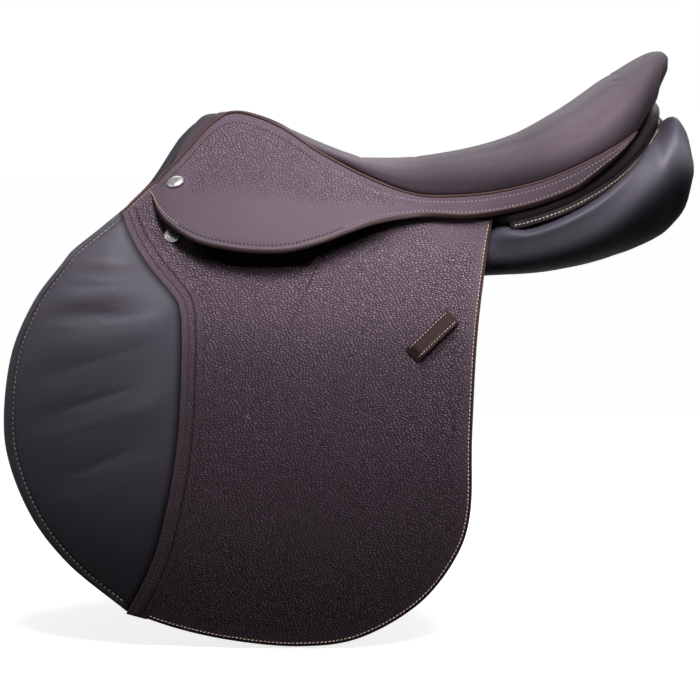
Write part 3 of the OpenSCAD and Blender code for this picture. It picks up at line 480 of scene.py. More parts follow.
# webbing: two crossed sets of bands
def webbing(name, look):
    m, tree, bsdf, place = newFinish(name)
    both = mathNode(tree, "MULTIPLY", *(bands(tree, place, way, look["scale"]) for way in "XZ"))
    plug(tree, bsdf, {"Base Color": mixColour(tree, both, rgba(look["dark"]), rgba(look["base"])),
                      "Roughness": look["rough"],
                      "Normal": bump(tree, look["strength"], look["high"] * mm, both)})
    return m


# beech laminate: stretched noise along the grain
def treeWood(name, look):
    m, tree, bsdf, place = newFinish(name)
    fibre = noise(tree, stretched(tree, place, look["stretch"]), look["fibre"], 5.0)
    plug(tree, bsdf, {"Base Color": mixColour(tree, fibre, rgba(look["dark"]), rgba(look["base"])),
                      "Roughness": look["rough"]})
    return m


finish["webbing"] = webbing("webbing", weave)
finish["wood"] = treeWood("treeWood", wood)
print("finishes ready", len(finish))

# the shape that every leather layer is measured from, in millimetres
seat = dict(long=402.0, wide=280.0, pommel=137.0, low=96.0, cantle=189.0, weltLow=66.0, dish=9.0, hide=3.0,
            welt=4.0, lowShare=0.403, headShare=0.05, stripShare=0.908, noseShare=0.04, tailShare=0.2,
            drawn=(0.3, 8))
side = dict(foldZ=12.0, foldW=126.0, flapW=403.0, flapL=310.0, flapT=5.0, rearShare=0.607, flare=0.2,
            shoulder=1.5, bowShare=0.35, bow=40, rise=7, run=8)
skirt = dict(thick=4.0, stand=21.0, lobeZ=21.0, foldZ=50.0, strip=17.5, tail=(8.0, 0.75), tipShare=-0.102,
             tipRise=0.425, lobeShare=0.378, strait=(0.25, 0.6))
clear = 0.3

# shares along the seat, then the shares of a rise, a width or a drop that each line takes there
crestRows = [[0, 0.78, 0], [0.03, 0.97, 0], [0.055, 1, 0], [0.09, 1, 0], [0.16, 0.74, 0], [0.25, 0.34, 0],
             [0.33, 0.06, 0], [0.4, 0, 0], [0.47, 0, 0.02], [0.58, 0, 0.13], [0.68, 0, 0.295],
             [0.77, 0, 0.53], [0.87, 0, 0.82], [0.95, 0, 0.985], [0.985, 0, 1], [1, 0, 0.95]]
weltRows = [[0, 0.82, 0], [0.05, 0.965, 0], [0.09, 0.97, 0], [0.165, 0.815, 0], [0.255, 0.49, 0],
            [0.365, 0.18, 0], [0.45, 0.02, 0], [0.51, 0, 0], [0.6, 0, 0.025], [0.7, 0, 0.1], [0.79, 0, 0.22],
            [0.885, 0, 0.39], [0.945, 0, 0.555], [0.98, 0, 0.68], [1, 0, 0.91]]
widthRows = [[0, 0.11], [0.05, 0.12], [0.09, 0.155], [0.165, 0.257], [0.255, 0.37], [0.365, 0.53],
             [0.42, 0.61], [0.51, 0.75], [0.605, 0.87], [0.7, 0.97], [0.77, 1], [1, 1]]
lobeRows = [[0, 1], [0.017, 0.69], [0.044, 0.45], [0.1, 0.185], [0.165, 0.053], [0.229, 0], [0.292, 0.02],
            [0.359, 0.163], [0.413, 0.327], [0.474, 0.48], [0.548, 0.57], [0.62, 0.605]]
edgeRows = [[0, 0], [0.13, 0.16], [0.4, 0.43], [0.6, 0.65], [0.8, 0.86], [1, 1]]
liftRows = [[0.5, 0], [0.6, 0.025], [0.7, 0.1], [0.79, 0.22], [0.885, 0.39], [0.945, 0.5], [1, 0.55]]

noseX = -seat["lowShare"] * seat["long"]


def xAt(u):
    return noseX + u * seat["long"]


def uAt(x):
    return (x - noseX) / seat["long"]


# seat's middle line, and the welt line, as shares of the rises to the pommel and the cantle
def crest(u):
    return (seat["low"] + (seat["pommel"] - seat["low"]) * curve(crestRows, u)
            + (seat["cantle"] - seat["low"]) * curve(crestRows, u, 2))


def weltZ(u):
    return (seat["weltLow"] + (seat["pommel"] - seat["weltLow"]) * curve(weltRows, u)
            + (seat["cantle"] - seat["weltLow"]) * curve(weltRows, u, 2))


def liftZ(u):
    return (seat["cantle"] - seat["weltLow"]) * curve(liftRows, u)


# half width of the saddle at the welt, rounded off at the cantle
def bodyW(u):
    tail = np.sqrt(1 - clamp01((u - 1 + seat["tailShare"]) / seat["tailShare"]) ** 2)
    return seat["wide"] / 2 * curve(widthRows, u) * tail


# half width of the seat, drawn in between the skirts at the pommel and rounded off at its nose
def halfW(u):
    nose = np.sqrt(1 - clamp01((seat["noseShare"] - u) / seat["noseShare"]) ** 2)
    start, steep = seat["drawn"]
    return (bodyW(u) - (skirt["thick"] + 2 * clear) * (1 - smooth((u - start) * steep))) * nose


flapRearX = xAt(side["rearShare"])
flapFrontX = flapRearX - side["flapW"]
bowX = flapRearX - side["bowShare"] * side["flapW"]
rearRise, rearRun = side["foldW"] / side["rise"], seat["long"] / side["run"]


# half width of the flap's outer face: flared below the fold, bowed in at the front, turned in under the welt
def sideY(x, z):
    u = np.clip(uAt(x), seat["headShare"], 1)
    top = weltZ(u)
    wide = side["foldW"] + rearRise * smooth((x - flapRearX) / rearRun)
    t = clamp01((z - side["foldZ"]) / (top - side["foldZ"]))
    bow = (side["flapW"] / side["bow"] * clamp01((bowX - x) / (bowX - flapFrontX)) ** 2
           * clamp01((side["foldZ"] - z) * 2 / side["flapL"]))
    return (wide - side["flare"] * (z - side["foldZ"]) - bow
            - (wide - side["flare"] * (top - side["foldZ"]) - bodyW(u)) * t ** side["shoulder"])


tipX = xAt(skirt["tipShare"])
tipZ = mix(skirt["lobeZ"], seat["pommel"], skirt["tipRise"])
headX = xAt(seat["headShare"])
skirtEndX = xAt(seat["stripShare"])
skirtLong = skirtEndX - tipX
lobeEndX = xAt(skirt["lobeShare"])


def skirtTopZ(x):
    front = tipZ + (weltZ(seat["headShare"]) - tipZ) * curve(edgeRows, (x - tipX) / (headX - tipX))
    return np.where(x < headX, front, weltZ(uAt(x)))


# lower edge of the skirt: the lobe in front, easing into the narrow strip beside the cantle
def skirtLowZ(x):
    steep, power = skirt["tail"]
    strip = (weltZ(uAt(x)) - skirt["strip"] * clamp01((skirtEndX - x) * steep / skirtLong) ** power
             - skirt["thick"] / 4)
    lobe = skirt["lobeZ"] + (tipZ - skirt["lobeZ"]) * curve(lobeRows, (x - tipX) / skirtLong)
    start, run = skirt["strait"]
    return mix(lobe, strip, smooth((x - start * flapRearX) / (run * flapRearX)))


# how far the skirt stands off the flap over the stirrup bar, falling to nothing at the welt
def skirtStand(x, z):
    out = mix(skirt["stand"], skirt["stand"] / 2, smooth((x - lobeEndX) / (flapRearX - lobeEndX)))
    rise = clamp01((z - side["foldZ"]) / (skirtTopZ(x) - side["foldZ"]))
    return out * (1 - smooth((x - flapRearX) / rearRun)) * (1 - rise ** 3)


def flapAt(shares):
    p = np.asarray(shares, float)
    return np.stack([flapRearX - p[:, 0] * side["flapW"], side["foldZ"] - p[:, 1] * side["flapL"]], axis=1)


# points on one side of the saddle, off millimetres out from the flap's outer face
def onSide(xz, off, sign=-1):
    x, z = xz[..., 0], xz[..., 1]
    return np.stack([x, sign * (sideY(x, z) + off), z], axis=-1)


# outward normal of such a surface, from its slopes
def sideNormal(xz, offAt, sign=-1, e=0.5):
    def face(dx, dz):
        q = xz + np.array([dx, dz])
        return sideY(q[..., 0], q[..., 1]) + offAt(q)
    gx = (face(e, 0) - face(-e, 0)) / (2 * e)
    gz = (face(0, e) - face(0, -e)) / (2 * e)
    return unit(np.stack([-gx, np.full_like(gx, sign), -gz], axis=-1))


# closed outline moved inwards along its own normals
def inset(outline, d):
    t = np.roll(outline, -1, 0) - np.roll(outline, 1, 0)
    n = unit(np.stack([-t[:, 1], t[:, 0]], axis=1))
    x, z = outline[:, 0], outline[:, 1]
    turn = np.sign((x * np.roll(z, -1) - np.roll(x, -1) * z).sum())
    return outline + turn * n * np.asarray(d).reshape(-1, 1)


edgeSteps = 7


# leather cut to an outline: rings out from its middle, a half-round edge, then the same rings on the back
def cutSheet(outline, middle, thick, offAt, sign, rings, backAt=None):
    backAt = backAt or (lambda q: offAt(q) - thick)
    r = thick / 2
    base = inset(outline, r)
    k = np.linspace(0, 1, rings + 1)[1:, None, None]
    front = middle + (base - middle) * k
    phi = np.linspace(0, np.pi, edgeSteps + 2)[1:-1]
    rim = np.stack([inset(outline, r * (1 - math.sin(a))) for a in phi])
    face, back = offAt(front), backAt(front)[::-1]
    rimOff = mix(face[-1][None], back[0][None], ((1 - np.cos(phi)) / 2)[:, None])
    xz = np.concatenate([front, rim, front[::-1]])
    grid = onSide(xz, np.concatenate([face, rimOff, back]), sign)
    n, m = grid.shape[:2]
    mid = np.asarray(middle, float)[None]
    points = np.vstack([grid.reshape(-1, 3), onSide(mid, offAt(mid), sign), onSide(mid, backAt(mid), sign)])
    row = np.repeat(np.arange(n - 1), m)
    isEdge = ((row >= rings - 1) & (row < rings + edgeSteps)).astype(int)
    return points, shutFaces(n, m), [isEdge, np.zeros(m, int), np.zeros(m, int)], xz.reshape(-1, 2)


# stitches: one spindle for each, lying along its row and sunk in the leather
stitch = dict(pitch=3.3, long=2.5, thick=0.42, slant=10.0, sink=0.1, sides=6,
              ends=(-1, -0.62, 0.62, 1), radii=(0.35, 1, 1, 0.35), dip=(-0.8, 0, 0, -0.8))


def stitchRow(name, path, normal, thread, **own):
    look = dict(stitch, **own)
    thick, sides = look["thick"], look["sides"]
    run = runAlong(path)
    count = max(1, int(run[-1] / look["pitch"]))
    at = (np.arange(count) + 0.5) * run[-1] / count
    centre, n = readAt(at, run, path), unit(readAt(at, run, normal))
    t = unit(readAt(at, run, alongPath(path)))
    b = unit(np.cross(n, t))
    a = math.radians(look["slant"])
    t, b = t * math.cos(a) + b * math.sin(a), b * math.cos(a) - t * math.sin(a)
    turn = anglesRound(sides)
    radii = np.array(look["radii"]) * thick
    along = np.repeat(np.array(look["ends"]) * look["long"] / 2, sides)
    wide, high = np.outer(radii, np.cos(turn)).ravel(), np.outer(radii, np.sin(turn)).ravel()
    high = high + np.repeat(look["dip"], sides) * thick + look["sink"]
    points = (centre[:, None] + t[:, None] * along[None, :, None] + b[:, None] * wide[None, :, None]
              + n[:, None] * high[None, :, None])
    rows = len(radii)
    first = np.arange(count)[:, None, None] * rows * sides
    quads = (gridQuads(rows, sides, roundColumns=True)[None] + first).reshape(-1, 4)
    ring = np.arange(sides)
    caps = (np.array([ring[::-1], ring + (rows - 1) * sides])[None] + first).reshape(-1, sides)
    return putMesh(name, points, [quads, caps], [thread])


# seat
seatLook = dict(rows=150, across=72, crowd=0.92, inset=0.003, tuck=5.0, undercut=6.0, swell=1.2, grain=0.6)
# painted shade and light of the seat: at the welt and over it, in front and behind; how much the cantle's
# turn, the crest and the waist lose; and the tone of its hidden side
seatShading = dict(welt=(0.8, 0.5), over=(0.88, 1.1), turn=0.5, crest=0.34, waist=0.33, hidden=0.5)


def rimZ(u):
    return np.minimum(weltZ(u) + seat["welt"] + 4 * clear, crest(u) - 2 * seat["hide"])


# cross section of the seat, s from -1 to 1 across it: an arch from rim to rim with a dish along its middle
def seatAt(u, s, t):
    a = np.pi / 2 * s
    c = np.maximum(np.cos(a), 0)
    rim = rimZ(u)
    dish = seat["dish"] * smooth((u - 0.42) * 2.6) * (1 - smooth((u - 0.8) * 5))
    arch = 0.5 + 0.25 * smooth((u - 0.5) * 3)
    z = rim + np.maximum(clear, crest(u) - t - rim) * c ** arch - dish * c ** 4
    x = xAt(u) - seatLook["undercut"] * (1 - c) * ramp(u, 0.9, 0.07) * (1 - ramp(u, 0.985, 0.015))
    return np.stack([x, (halfW(u) - t) * np.sin(a), z], axis=-1)


def makeSeat():
    g, shading = seatLook, seatShading
    spread = (1 - np.cos(np.linspace(0, np.pi, g["rows"]))) / 2
    u = (g["inset"] + (1 - 2 * g["inset"]) * spread)[:, None]
    quarter = np.pi / 2 * g["crowd"]
    s = np.sin(np.linspace(-1, 1, g["across"] + 1) * quarter)[None, :] / math.sin(quarter)
    top, under = seatAt(u, s, 0), seatAt(u, s, seat["hide"])
    drop = np.array([0.35, 1.0])[:, None] * g["tuck"] * np.array([0.0, 0.35, -1.0])
    tuckL, tuckR = top[:, :1] + drop, top[:, -1:] + drop * [1, -1, 1]
    loop = np.concatenate([top, tuckR, under[:, ::-1], tuckL[:, ::-1]], axis=1)
    # painted shade and light: darker along the welt, at the cantle's turn, at the crest behind and in the
    # waist of the seat, lighter over the welt behind
    height = np.sqrt(np.maximum(np.cos(np.pi / 2 * s), 0))
    rear = ramp(u, 0.48, 0.2)
    shade = mix(mix(*shading["welt"], rear), mix(*shading["over"], rear), smooth(height / 0.62))
    shade *= 1 - shading["turn"] * ramp(u, 0.84, 0.08) * (1 - height)
    shade *= 1 - shading["crest"] * rear * ramp(height, 0.74, 0.2)
    shade *= 1 - shading["waist"] * ramp(u, 0.36, 0.15) * (1 - ramp(u, 0.68, 0.12))
    tone, held = np.full(loop.shape[:2], shading["hidden"]), np.ones(loop.shape[:2])
    tone[:, :top.shape[1]] = shade
    held[:, :top.shape[1]] = 1 - (smooth((0.97 - np.abs(s)) / 0.25)
                                  * smooth(np.minimum(u - 0.02, 0.97 - u) / 0.12))
    piece = putMesh("seat", *loft(loop), ["seat"], None,
                    dict(grain=g["grain"], wear=0.0, tone=ended(tone, 1)))
    plump(piece, ended(held, 1), g["swell"], like="seat")
    return settle(piece, "saddle", "seat_cover", "seat_foam", finish="seat_leather")


makeSeat()
print("seat made")

# welt between the seat and the skirts, down the skirt's front edge
welt = dict(radius=1.3, lift=0.9, tipLift=1.2, sides=12, step=2.5, thinEnd=0.3, taper=4)


def weltPath(sign):
    x = np.concatenate([np.linspace(tipX + 3, headX, 60), np.linspace(headX, skirtEndX, 220)[1:]])
    p = onSide(np.stack([x, skirtTopZ(x)], axis=1), -skirt["thick"] / 2, sign)
    p[:, 2] += welt["lift"] * np.where(x > headX, 1.0, welt["tipLift"])
    return evenSteps(p, welt["step"])


def makeWelt(name, sign):
    path = weltPath(sign)
    grow = mix(welt["thinEnd"], 1, smooth(fromEnds(path) / welt["taper"]))
    rings = tubeRings(path, welt["radius"] * grow, welt["sides"])
    piece = putMesh(name + "Welt", *loft(rings), ["piping"], values=dict(grain=0.3, wear=0.0))
    return settle(piece, "saddle", name + "_seat_welt", finish="welt_leather")


for name, sign in sides.items():
    makeWelt(name, sign)

# skirts: columns front to back, each a closed loop round the leather
skirtLook = dict(columns=230, middleRows=16, round=11, edge=4.0, stitchLow=2.8, stitchTop=8.0, groove=0.35,
                 full=34, least=0.8, edgeShare=0.3, stitchLong=1.9, stitchThick=0.6, grain=(0.12, 0.8),
                 wear=0.35, stripTone=0.72)


def skirtColumns():
    a = np.linspace(0, 1, skirtLook["columns"])
    x = mix(tipX, skirtEndX, 0.55 * a ** 2.2 + 0.45 * a)
    low, top = skirtLowZ(x), skirtTopZ(x)
    tall = np.maximum(top - low, skirtLook["least"])
    return x, low, top, tall, np.minimum(1, tall / skirtLook["full"])


def makeSkirt(name, sign):
    g = skirtLook
    x, low, top, tall, fit = (v[:, None] for v in skirtColumns())
    r = np.minimum(g["edge"], tall * g["edgeShare"])
    near = np.array([0, 0.25, 0.6, *(g["stitchLow"] + np.arange(-2, 2)), 8.0])
    far = np.array([*(g["stitchTop"] + np.array([3, 1, 0, -1])), 4.5, 2.0, 0.4])
    lowRows, topRows = low + r + near * fit, top - far * fit
    midRows = mix(lowRows[:, -1:], topRows[:, :1], np.linspace(0, 1, g["middleRows"] + 2)[1:-1])
    z = np.concatenate([lowRows, midRows, topRows], axis=1)
    n = z.shape[1]
    # a groove along both stitch rows
    dent = np.zeros(n)
    for row in (5, len(near) + g["middleRows"] + 2):
        dent[row - 1:row + 2] = -g["groove"] * np.array([0.25, 1, 0.25])
    phi = np.linspace(0, np.pi, g["round"] + 2)[1:-1][None]
    edgeZ = low + r * (1 - np.sin(phi))
    edgeOff = skirtStand(x, low + r) - skirt["thick"] * (1 - np.cos(phi)) / 2
    stand = skirtStand(x, z)
    zAll = np.concatenate([z[:, ::-1], edgeZ, z], axis=1)
    xAll = np.broadcast_to(x, zAll.shape)
    off = np.concatenate([(stand + dent * fit)[:, ::-1], edgeOff, stand - skirt["thick"]], axis=1)
    points, faces = loft(onSide(np.stack([xAll, zAll], axis=-1), off, sign))
    m = zAll.shape[1]
    column = np.tile(np.arange(m), len(x) - 1)
    edge = ((column >= n - 1) & (column < n + g["round"])).astype(int)
    share = (zAll - low) / tall
    # pebble shows in the upper part of the lobe and fades towards every edge and the strip
    grain = (ramp(share, 0.33, 0.22) * smooth((1.06 - share) / 0.2) * smooth((lobeEndX + 55 - xAll) / 60)
             * smooth((xAll - tipX - 12) / 34))
    # a paler line just above the lower edge: rubbed wear and a painted highlight
    wear = g["wear"] * bell(zAll - low - r - 0.2, 0.4) * fit
    tone = mix(1, g["stripTone"], smooth((xAll - lobeEndX + 20) / 80))
    plain, more = g["grain"]
    values = dict(grain=ended(plain + more * grain, 0), wear=ended(wear, 0), tone=ended(tone, 1))
    piece = putMesh(name + "Skirt", points, faces, ["grained", "edge"],
                    [edge, np.zeros(m, int), np.zeros(m, int)], values)
    return settle(piece, None, name + "_skirt", name + "_skirt_lobe", finish="grained_leather")


# the skirt's placement is baked into its mesh
def foldSkirt(piece):
    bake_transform(piece)


def skirtStitches(name, sign):
    g = skirtLook
    x, low, top, _, fit = skirtColumns()
    lowLine = low + np.minimum(g["edge"], (top - low) * g["edgeShare"]) + g["stitchLow"] * fit
    topLine = top - g["stitchTop"] * fit
    tip, front, topFront, end = tipX + 26, lobeEndX - 30, lobeEndX - 50, skirtEndX - 8
    rows = {"SkirtStitchTip": (x < tip, lowLine, "paleThread"),
            "SkirtStitchFront": ((x >= tip) & (x < front), lowLine, "darkThread"),
            "SkirtStitchRear": ((x >= front) & (x < end), lowLine, "greyThread"),
            "SkirtTopStitchFront": ((x < topFront) & (x > tipX + 8), topLine, "darkThread"),
            "SkirtTopStitchRear": ((x >= topFront) & (x < end), topLine, "greyThread")}

    def stand(q):
        return skirtStand(q[..., 0], q[..., 1])
    for label, (keep, z, thread) in rows.items():
        line = evenSteps(np.stack([x, z], axis=1)[keep], 1.5)
        piece = stitchRow(name + label, onSide(line, stand(line) - g["groove"], sign),
                          sideNormal(line, stand, sign), thread, long=g["stitchLong"],
                          thick=g["stitchThick"])
        foldSkirt(piece)


for name, sign in sides.items():
    foldSkirt(makeSkirt(name, sign))
    skirtStitches(name, sign)
print("skirts made")

# flaps
flapRows = [[0.011, 0], [0.03, 0.2], [0.041, 0.45], [0.045, 0.65], [0.075, 0.77], [0.15, 0.89],
            [0.27, 0.978], [0.39, 1], [0.53, 0.985], [0.66, 0.948], [0.76, 0.895], [0.86, 0.795],
            [0.935, 0.68], [0.985, 0.54], [1, 0.415], [0.985, 0.24], [0.94, 0.1], [0.883, 0]]
browRows = [[0.861, 0.19], [0.811, 0.47], [0.764, 0.74], [0.744, 0.866], [0.723, 1.01], [0.702, 1.13]]
padBackRows = [[0.762, -0.135], [0.739, -0.068], [0.7, 0.008], [0.665, 0.061], [0.64, 0.106], [0.633, 0.166],
               [0.633, 0.28], [0.638, 0.43], [0.648, 0.545], [0.665, 0.658], [0.682, 0.747], [0.705, 0.823],
               [0.733, 0.892], [0.743, 0.915]]
flapLook = dict(step=3.2, rings=64, rearTop=(84.0, 50.0), browEnd=(-194.0, 80.0),
                notch=((-158.0, 54.0), (-141.0, 14.5), (-128.0, 11.6), (-70.0, 11.6), (-44.0, 54.0)),
                stitchIn=3.0, ripple=0.5, belly=8.0, tuck=2.2, stitchTop=46, stitchEnd=-213,
                browStart=(-180, 40), grain=(0.35, 0.65), bare=0.55, wear=0.5)
nailCrease = dict(at=(-186, 36), half=(20, 17), deep=1.56, pitch=2.9, lean=(0.85, 0.5), wave=(0.6, 6))


# points of the brow, the flap's front edge over the fold: shares of the flap's width and of the rise to
# the skirt tip
def browPoints():
    p = np.asarray(browRows, float)
    return np.stack([flapRearX - p[:, 0] * side["flapW"], side["foldZ"] + p[:, 1] * (tipZ - side["foldZ"])],
                    axis=1)


# whole edge of the flap: down its back, round its foot, up its front, over the brow and back under the skirt
def flapOutline(step):
    around = pathThrough(np.vstack([[flapLook["rearTop"]], flapAt(flapRows), browPoints(),
                                    [flapLook["browEnd"]]]), step)
    top = evenSteps([flapLook["browEnd"], *flapLook["notch"], flapLook["rearTop"]], step)
    return np.vstack([around, top[1:-1]]), around


flapMiddle = flapAt([[0.5, 0.4]])[0]


# hanging leather: a belly under the fold, slow ripples, and creases where it is drawn in round the flap nail
def flapOff(q):
    x, z = q[..., 0], q[..., 1]
    down = clamp01((side["foldZ"] + 14 - z) / (side["flapL"] + 14))
    belly = flapLook["belly"] * 6.75 * down * (1 - down) ** 2
    slow = np.sin(x / 41 + z / 67) * np.cos(z / 53 - x / 90) * flapLook["ripple"]
    c = nailCrease
    dx, dz = x - c["at"][0], z - c["at"][1]
    bent = (dx * c["lean"][0] + dz * c["lean"][1]) / c["pitch"] + c["wave"][0] * np.sin(dz / c["wave"][1])
    creases = c["deep"] * bell(dx, c["half"][0]) * bell(dz, c["half"][1]) * np.sin(bent)
    return belly + slow * smooth((side["foldZ"] + 20 - z) / 40) - creases


# painted light at the flap's top and painted shade down it: height, share of the plain tone
flapShadeRows = [[-300, 0.18], [-267, 0.21], [-234, 0.27], [-201, 0.34], [-167, 0.41], [-134, 0.49],
            [-101, 0.56], [-68, 0.68], [-51, 0.79], [-35, 0.97], [-18, 1.12], [10, 1.2], [60, 1.05]]
# and it darkens a little from front to rear
flapShading = dict(along=(1.1, 0.88), shadow=0.12)


# and it is darkest where the skirt's edge keeps the light off
def flapShade(q):
    x, z = q[..., 0], q[..., 1]
    lobe = smooth((x - tipX - 12) / 40) * smooth((lobeEndX + 30 - x) / 50)
    lit = smooth((skirtLowZ(np.clip(x, tipX, skirtEndX)) - z - 8) / 20)
    along = mix(*flapShading["along"], ramp(x, -190, 260))
    return curve(flapShadeRows, z) * mix(1, mix(flapShading["shadow"], 1, lit), lobe) * along


# the placement of the flap and what is sewn to it is baked into their meshes
def foldFlap(piece):
    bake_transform(piece)


def makeFlap(name, sign):
    outline, around = flapOutline(flapLook["step"])
    # the flap's own edge lies just inside the padded front that is wrapped round it
    x, z = outline[:, 0], outline[:, 1]
    padded = smooth((-172 - x) / 30) * smooth((46 - z) / 10) * ramp(z, -268, 12)
    outline = inset(outline, flapLook["tuck"] * padded)
    points, faces, flags, xz = cutSheet(outline, flapMiddle, side["flapT"], flapOff, sign, flapLook["rings"])
    gap = nearestTo(xz, around)
    plain, more = flapLook["grain"]
    grain = plain + more * smooth(gap / 14)
    grain *= 1 - flapLook["bare"] * ramp(xz[:, 1], 18, 16) * ramp(xz[:, 0], 20, 30)
    wear = flapLook["wear"] * (1 - smooth(gap / 3.0))
    # painted shade down the flap and a painted shadow under the skirt's edge
    values = dict(grain=ended(grain, 1), wear=ended(wear, 0), tone=ended(flapShade(xz), 1))
    piece = putMesh(name + "Flap", points, faces, ["grained", "edge"], flags, values)
    foldFlap(settle(piece, None, name + "_flap", name + "_flap_top", finish="grained_leather"))


# pale stitching just inside the flap's back and foot, and inside its brow
def flapStitches(name, sign):
    outline, around = flapOutline(1.5)
    inner = inset(outline, flapLook["stitchIn"])[:len(around)]
    line = inner[inner[:, 1] < flapLook["stitchTop"]]
    line = line[:np.argmax(line[:, 0] < flapLook["stitchEnd"])]
    x, z = flapLook["browStart"]
    brow = inner[(inner[:, 1] > z) & (inner[:, 0] < x)]
    rows = [stitchRow(name + label, onSide(p, flapOff(p), sign), sideNormal(p, flapOff, sign), "paleThread")
            for label, p in (("FlapStitch", line), ("BrowStitch", brow))]
    foldFlap(rows[0])
    settle(rows[1], "saddle")


for name, sign in sides.items():
    makeFlap(name, sign)
    flapStitches(name, sign)
print("flaps made")

# padded knee part of the flap, wrapped round its front edge
knee = dict(rows=150, middle=34, crown=10.0, base=2.6, edge=3.8, shoulder=46.0, behind=40, rim=8.5,
            rimMin=4.5, groove=1.3, swell=2.5, rub=0.55, rubHalf=2.2, foot=(0.735, 0.915))
# soft folds across the pad: middle x, z, half length, slope, half width and depth
kneeFolds = [(-250, 12, 26, -0.10, 4.0, 0.8), (-258, -22, 34, 0.04, 5.0, 1.6), (-236, -62, 46, 0.22, 9, 2.0),
             (-246, -92, 44, 0.30, 8, 2.2), (-236, -126, 46, 0.32, 10, 2.2), (-252, -150, 34, 0.3, 8, 1.6)]

# painted light at the top of the knee pad and painted shade down it: height, share of the plain tone
padShadeRows = [[-300, 0.17], [-240, 0.27], [-195, 0.46], [-150, 0.7], [-80, 1.0], [0, 1.5], [60, 1.4]]


# the pad's front and back edges, both from foot to top in the same number of steps
def kneeEdges(count):
    front = pathThrough(np.vstack([flapAt([knee["foot"]]), flapAt(flapRows)[10:], browPoints()[:3]]), 1.0)
    back = pathThrough(flapAt(padBackRows)[::-1], 1.0)
    return [readAt(np.linspace(0, 1, count), np.linspace(0, 1, len(e)), e) for e in (front, back)]


def kneeRim(z):
    return mix(knee["rimMin"], knee["rim"], smooth(1 - np.abs(z + 125) / 190))


# height of the pad: a flat sewn rim in front, then a full crown that dies under the band behind
def kneeOff(q, front, back):
    x, z = q[..., 0], q[..., 1]
    gapFront, gapBack = nearestTo(q, front), nearestTo(q, back)
    rim = kneeRim(z)
    inner = clamp01((gapFront - rim) / knee["shoulder"])
    full = (1 - (1 - inner) ** 2.4) * (1 - (1 - clamp01(gapBack / knee["behind"])) ** 2.2)
    dent = knee["groove"] * bell(gapFront - rim, 1.5)
    folds = sum(deep * bell(x - a, half) * np.sin(np.clip((z - b - slope * (x - a)) / wide, -np.pi, np.pi))
                for a, b, half, slope, wide, deep in kneeFolds)
    return flapOff(q) + knee["base"] + knee["crown"] * full - dent + folds * smooth(full * 1.3)


# each row runs from the front edge to the back edge, then home behind the flap
def makeKneePad(name, sign):
    front, back = kneeEdges(knee["rows"])
    reach = np.linalg.norm(back - front, axis=1)[:, None]
    fit = np.minimum(1, reach / 30)
    ahead = unit(back - front)
    near = np.concatenate([[knee["edge"]], np.arange(4.4, 11.2, 0.6), [12.5, 14.5, 17]]) * fit
    far = reach - np.array([9.0, 6.0, 3.5, 1.5, 0.0]) * fit
    between = mix(near[:, -1:], far[:, :1], np.linspace(0, 1, knee["middle"] + 2)[1:-1])
    away = np.concatenate([near, between, far], axis=1)
    face = front[:, None] + ahead[:, None] * away[..., None]
    off = kneeOff(face, front, back)
    phi = np.linspace(0, np.pi, 9)[1:-1]
    edgeAway = knee["edge"] * (1 - np.sin(phi)) * fit
    edge = front[:, None] + ahead[:, None] * edgeAway[..., None]
    edgeOff = mix(off[:, :1], -side["flapT"], (1 - np.cos(phi)) / 2)
    home = face[:, ::4]
    xz = np.concatenate([face[:, ::-1], edge, home], axis=1)
    offs = np.concatenate([off[:, ::-1], edgeOff, np.full(home.shape[:2], -side["flapT"])], axis=1)
    x, z = xz[..., 0], xz[..., 1]
    # painted shade down the pad, and a painted shadow along its back edge under the band
    tone = curve(padShadeRows, z) * mix(0.25, 1, ramp(nearestTo(xz, back), 0.5, 7))
    # the two top folds are rubbed brown along their creases
    rub = sum(bell(x - a, half) * bell(z - b - slope * (x - a), knee["rubHalf"])
              for a, b, half, slope, *_ in kneeFolds[:2])
    values = dict(grain=0.4, wear=ended(knee["rub"] * rub, 0), tone=ended(tone, 1))
    piece = putMesh(name + "KneePad", *loft(onSide(xz, offs, sign)), ["calf"], None, values)
    held = np.ones(xz.shape[:2])
    held[:, :face.shape[1]] = (1 - smooth((nearestTo(face, front) - kneeRim(face[..., 1]) - 2) / 22)
                               * ramp(nearestTo(face, back), 4, 22))[:, ::-1]
    plump(piece, ended(held, 1), knee["swell"], like="kneePad")
    settle(piece, None, name + "_knee_pad", name + "_knee_pad_top", finish="calf_leather")
    foldFlap(piece)
    # row of pale stitches in the groove behind the rim
    t = alongPath(front)
    inward = np.stack([t[:, 1], -t[:, 0]], axis=1)
    inward *= np.sign((inward * ahead).sum(1).mean())
    line = evenSteps((front + inward * kneeRim(front[:, 1])[:, None])[4:-4], 1.5)
    seam = stitchRow(name + "KneeStitch", onSide(line, kneeOff(line, front, back), sign),
                     sideNormal(line, lambda q: 0 * q[..., 0], sign), "paleThread", pitch=4.2, long=2.9,
                     thick=0.5)
    foldFlap(seam)


# band of grained leather folded over the back of the knee pad: a strip along the pad's back edge
band = dict(step=2.2, stitchIn=5.0, stitchHigh=2.95, crease=11.0, turnIn=45.0, footWay=(0.95, -0.28),
            under=0.6)
# across the band: distance from the pad's edge, height over the flap
bandRows = [[0.0, 1.0], [-0.5, 1.8], [-0.6, 2.8], [-0.2, 3.4], [0.6, 3.7], [2.0, 3.6], [3.8, 3.4],
            [4.6, 3.2], [5.0, 2.95], [5.4, 3.15], [6.4, 3.0], [8.5, 2.6], [10.2, 2.2], [10.8, 1.85],
            [11.2, 1.8], [11.8, 2.0], [13.5, 1.4], [15.5, 0.7], [17.0, 0.1]]


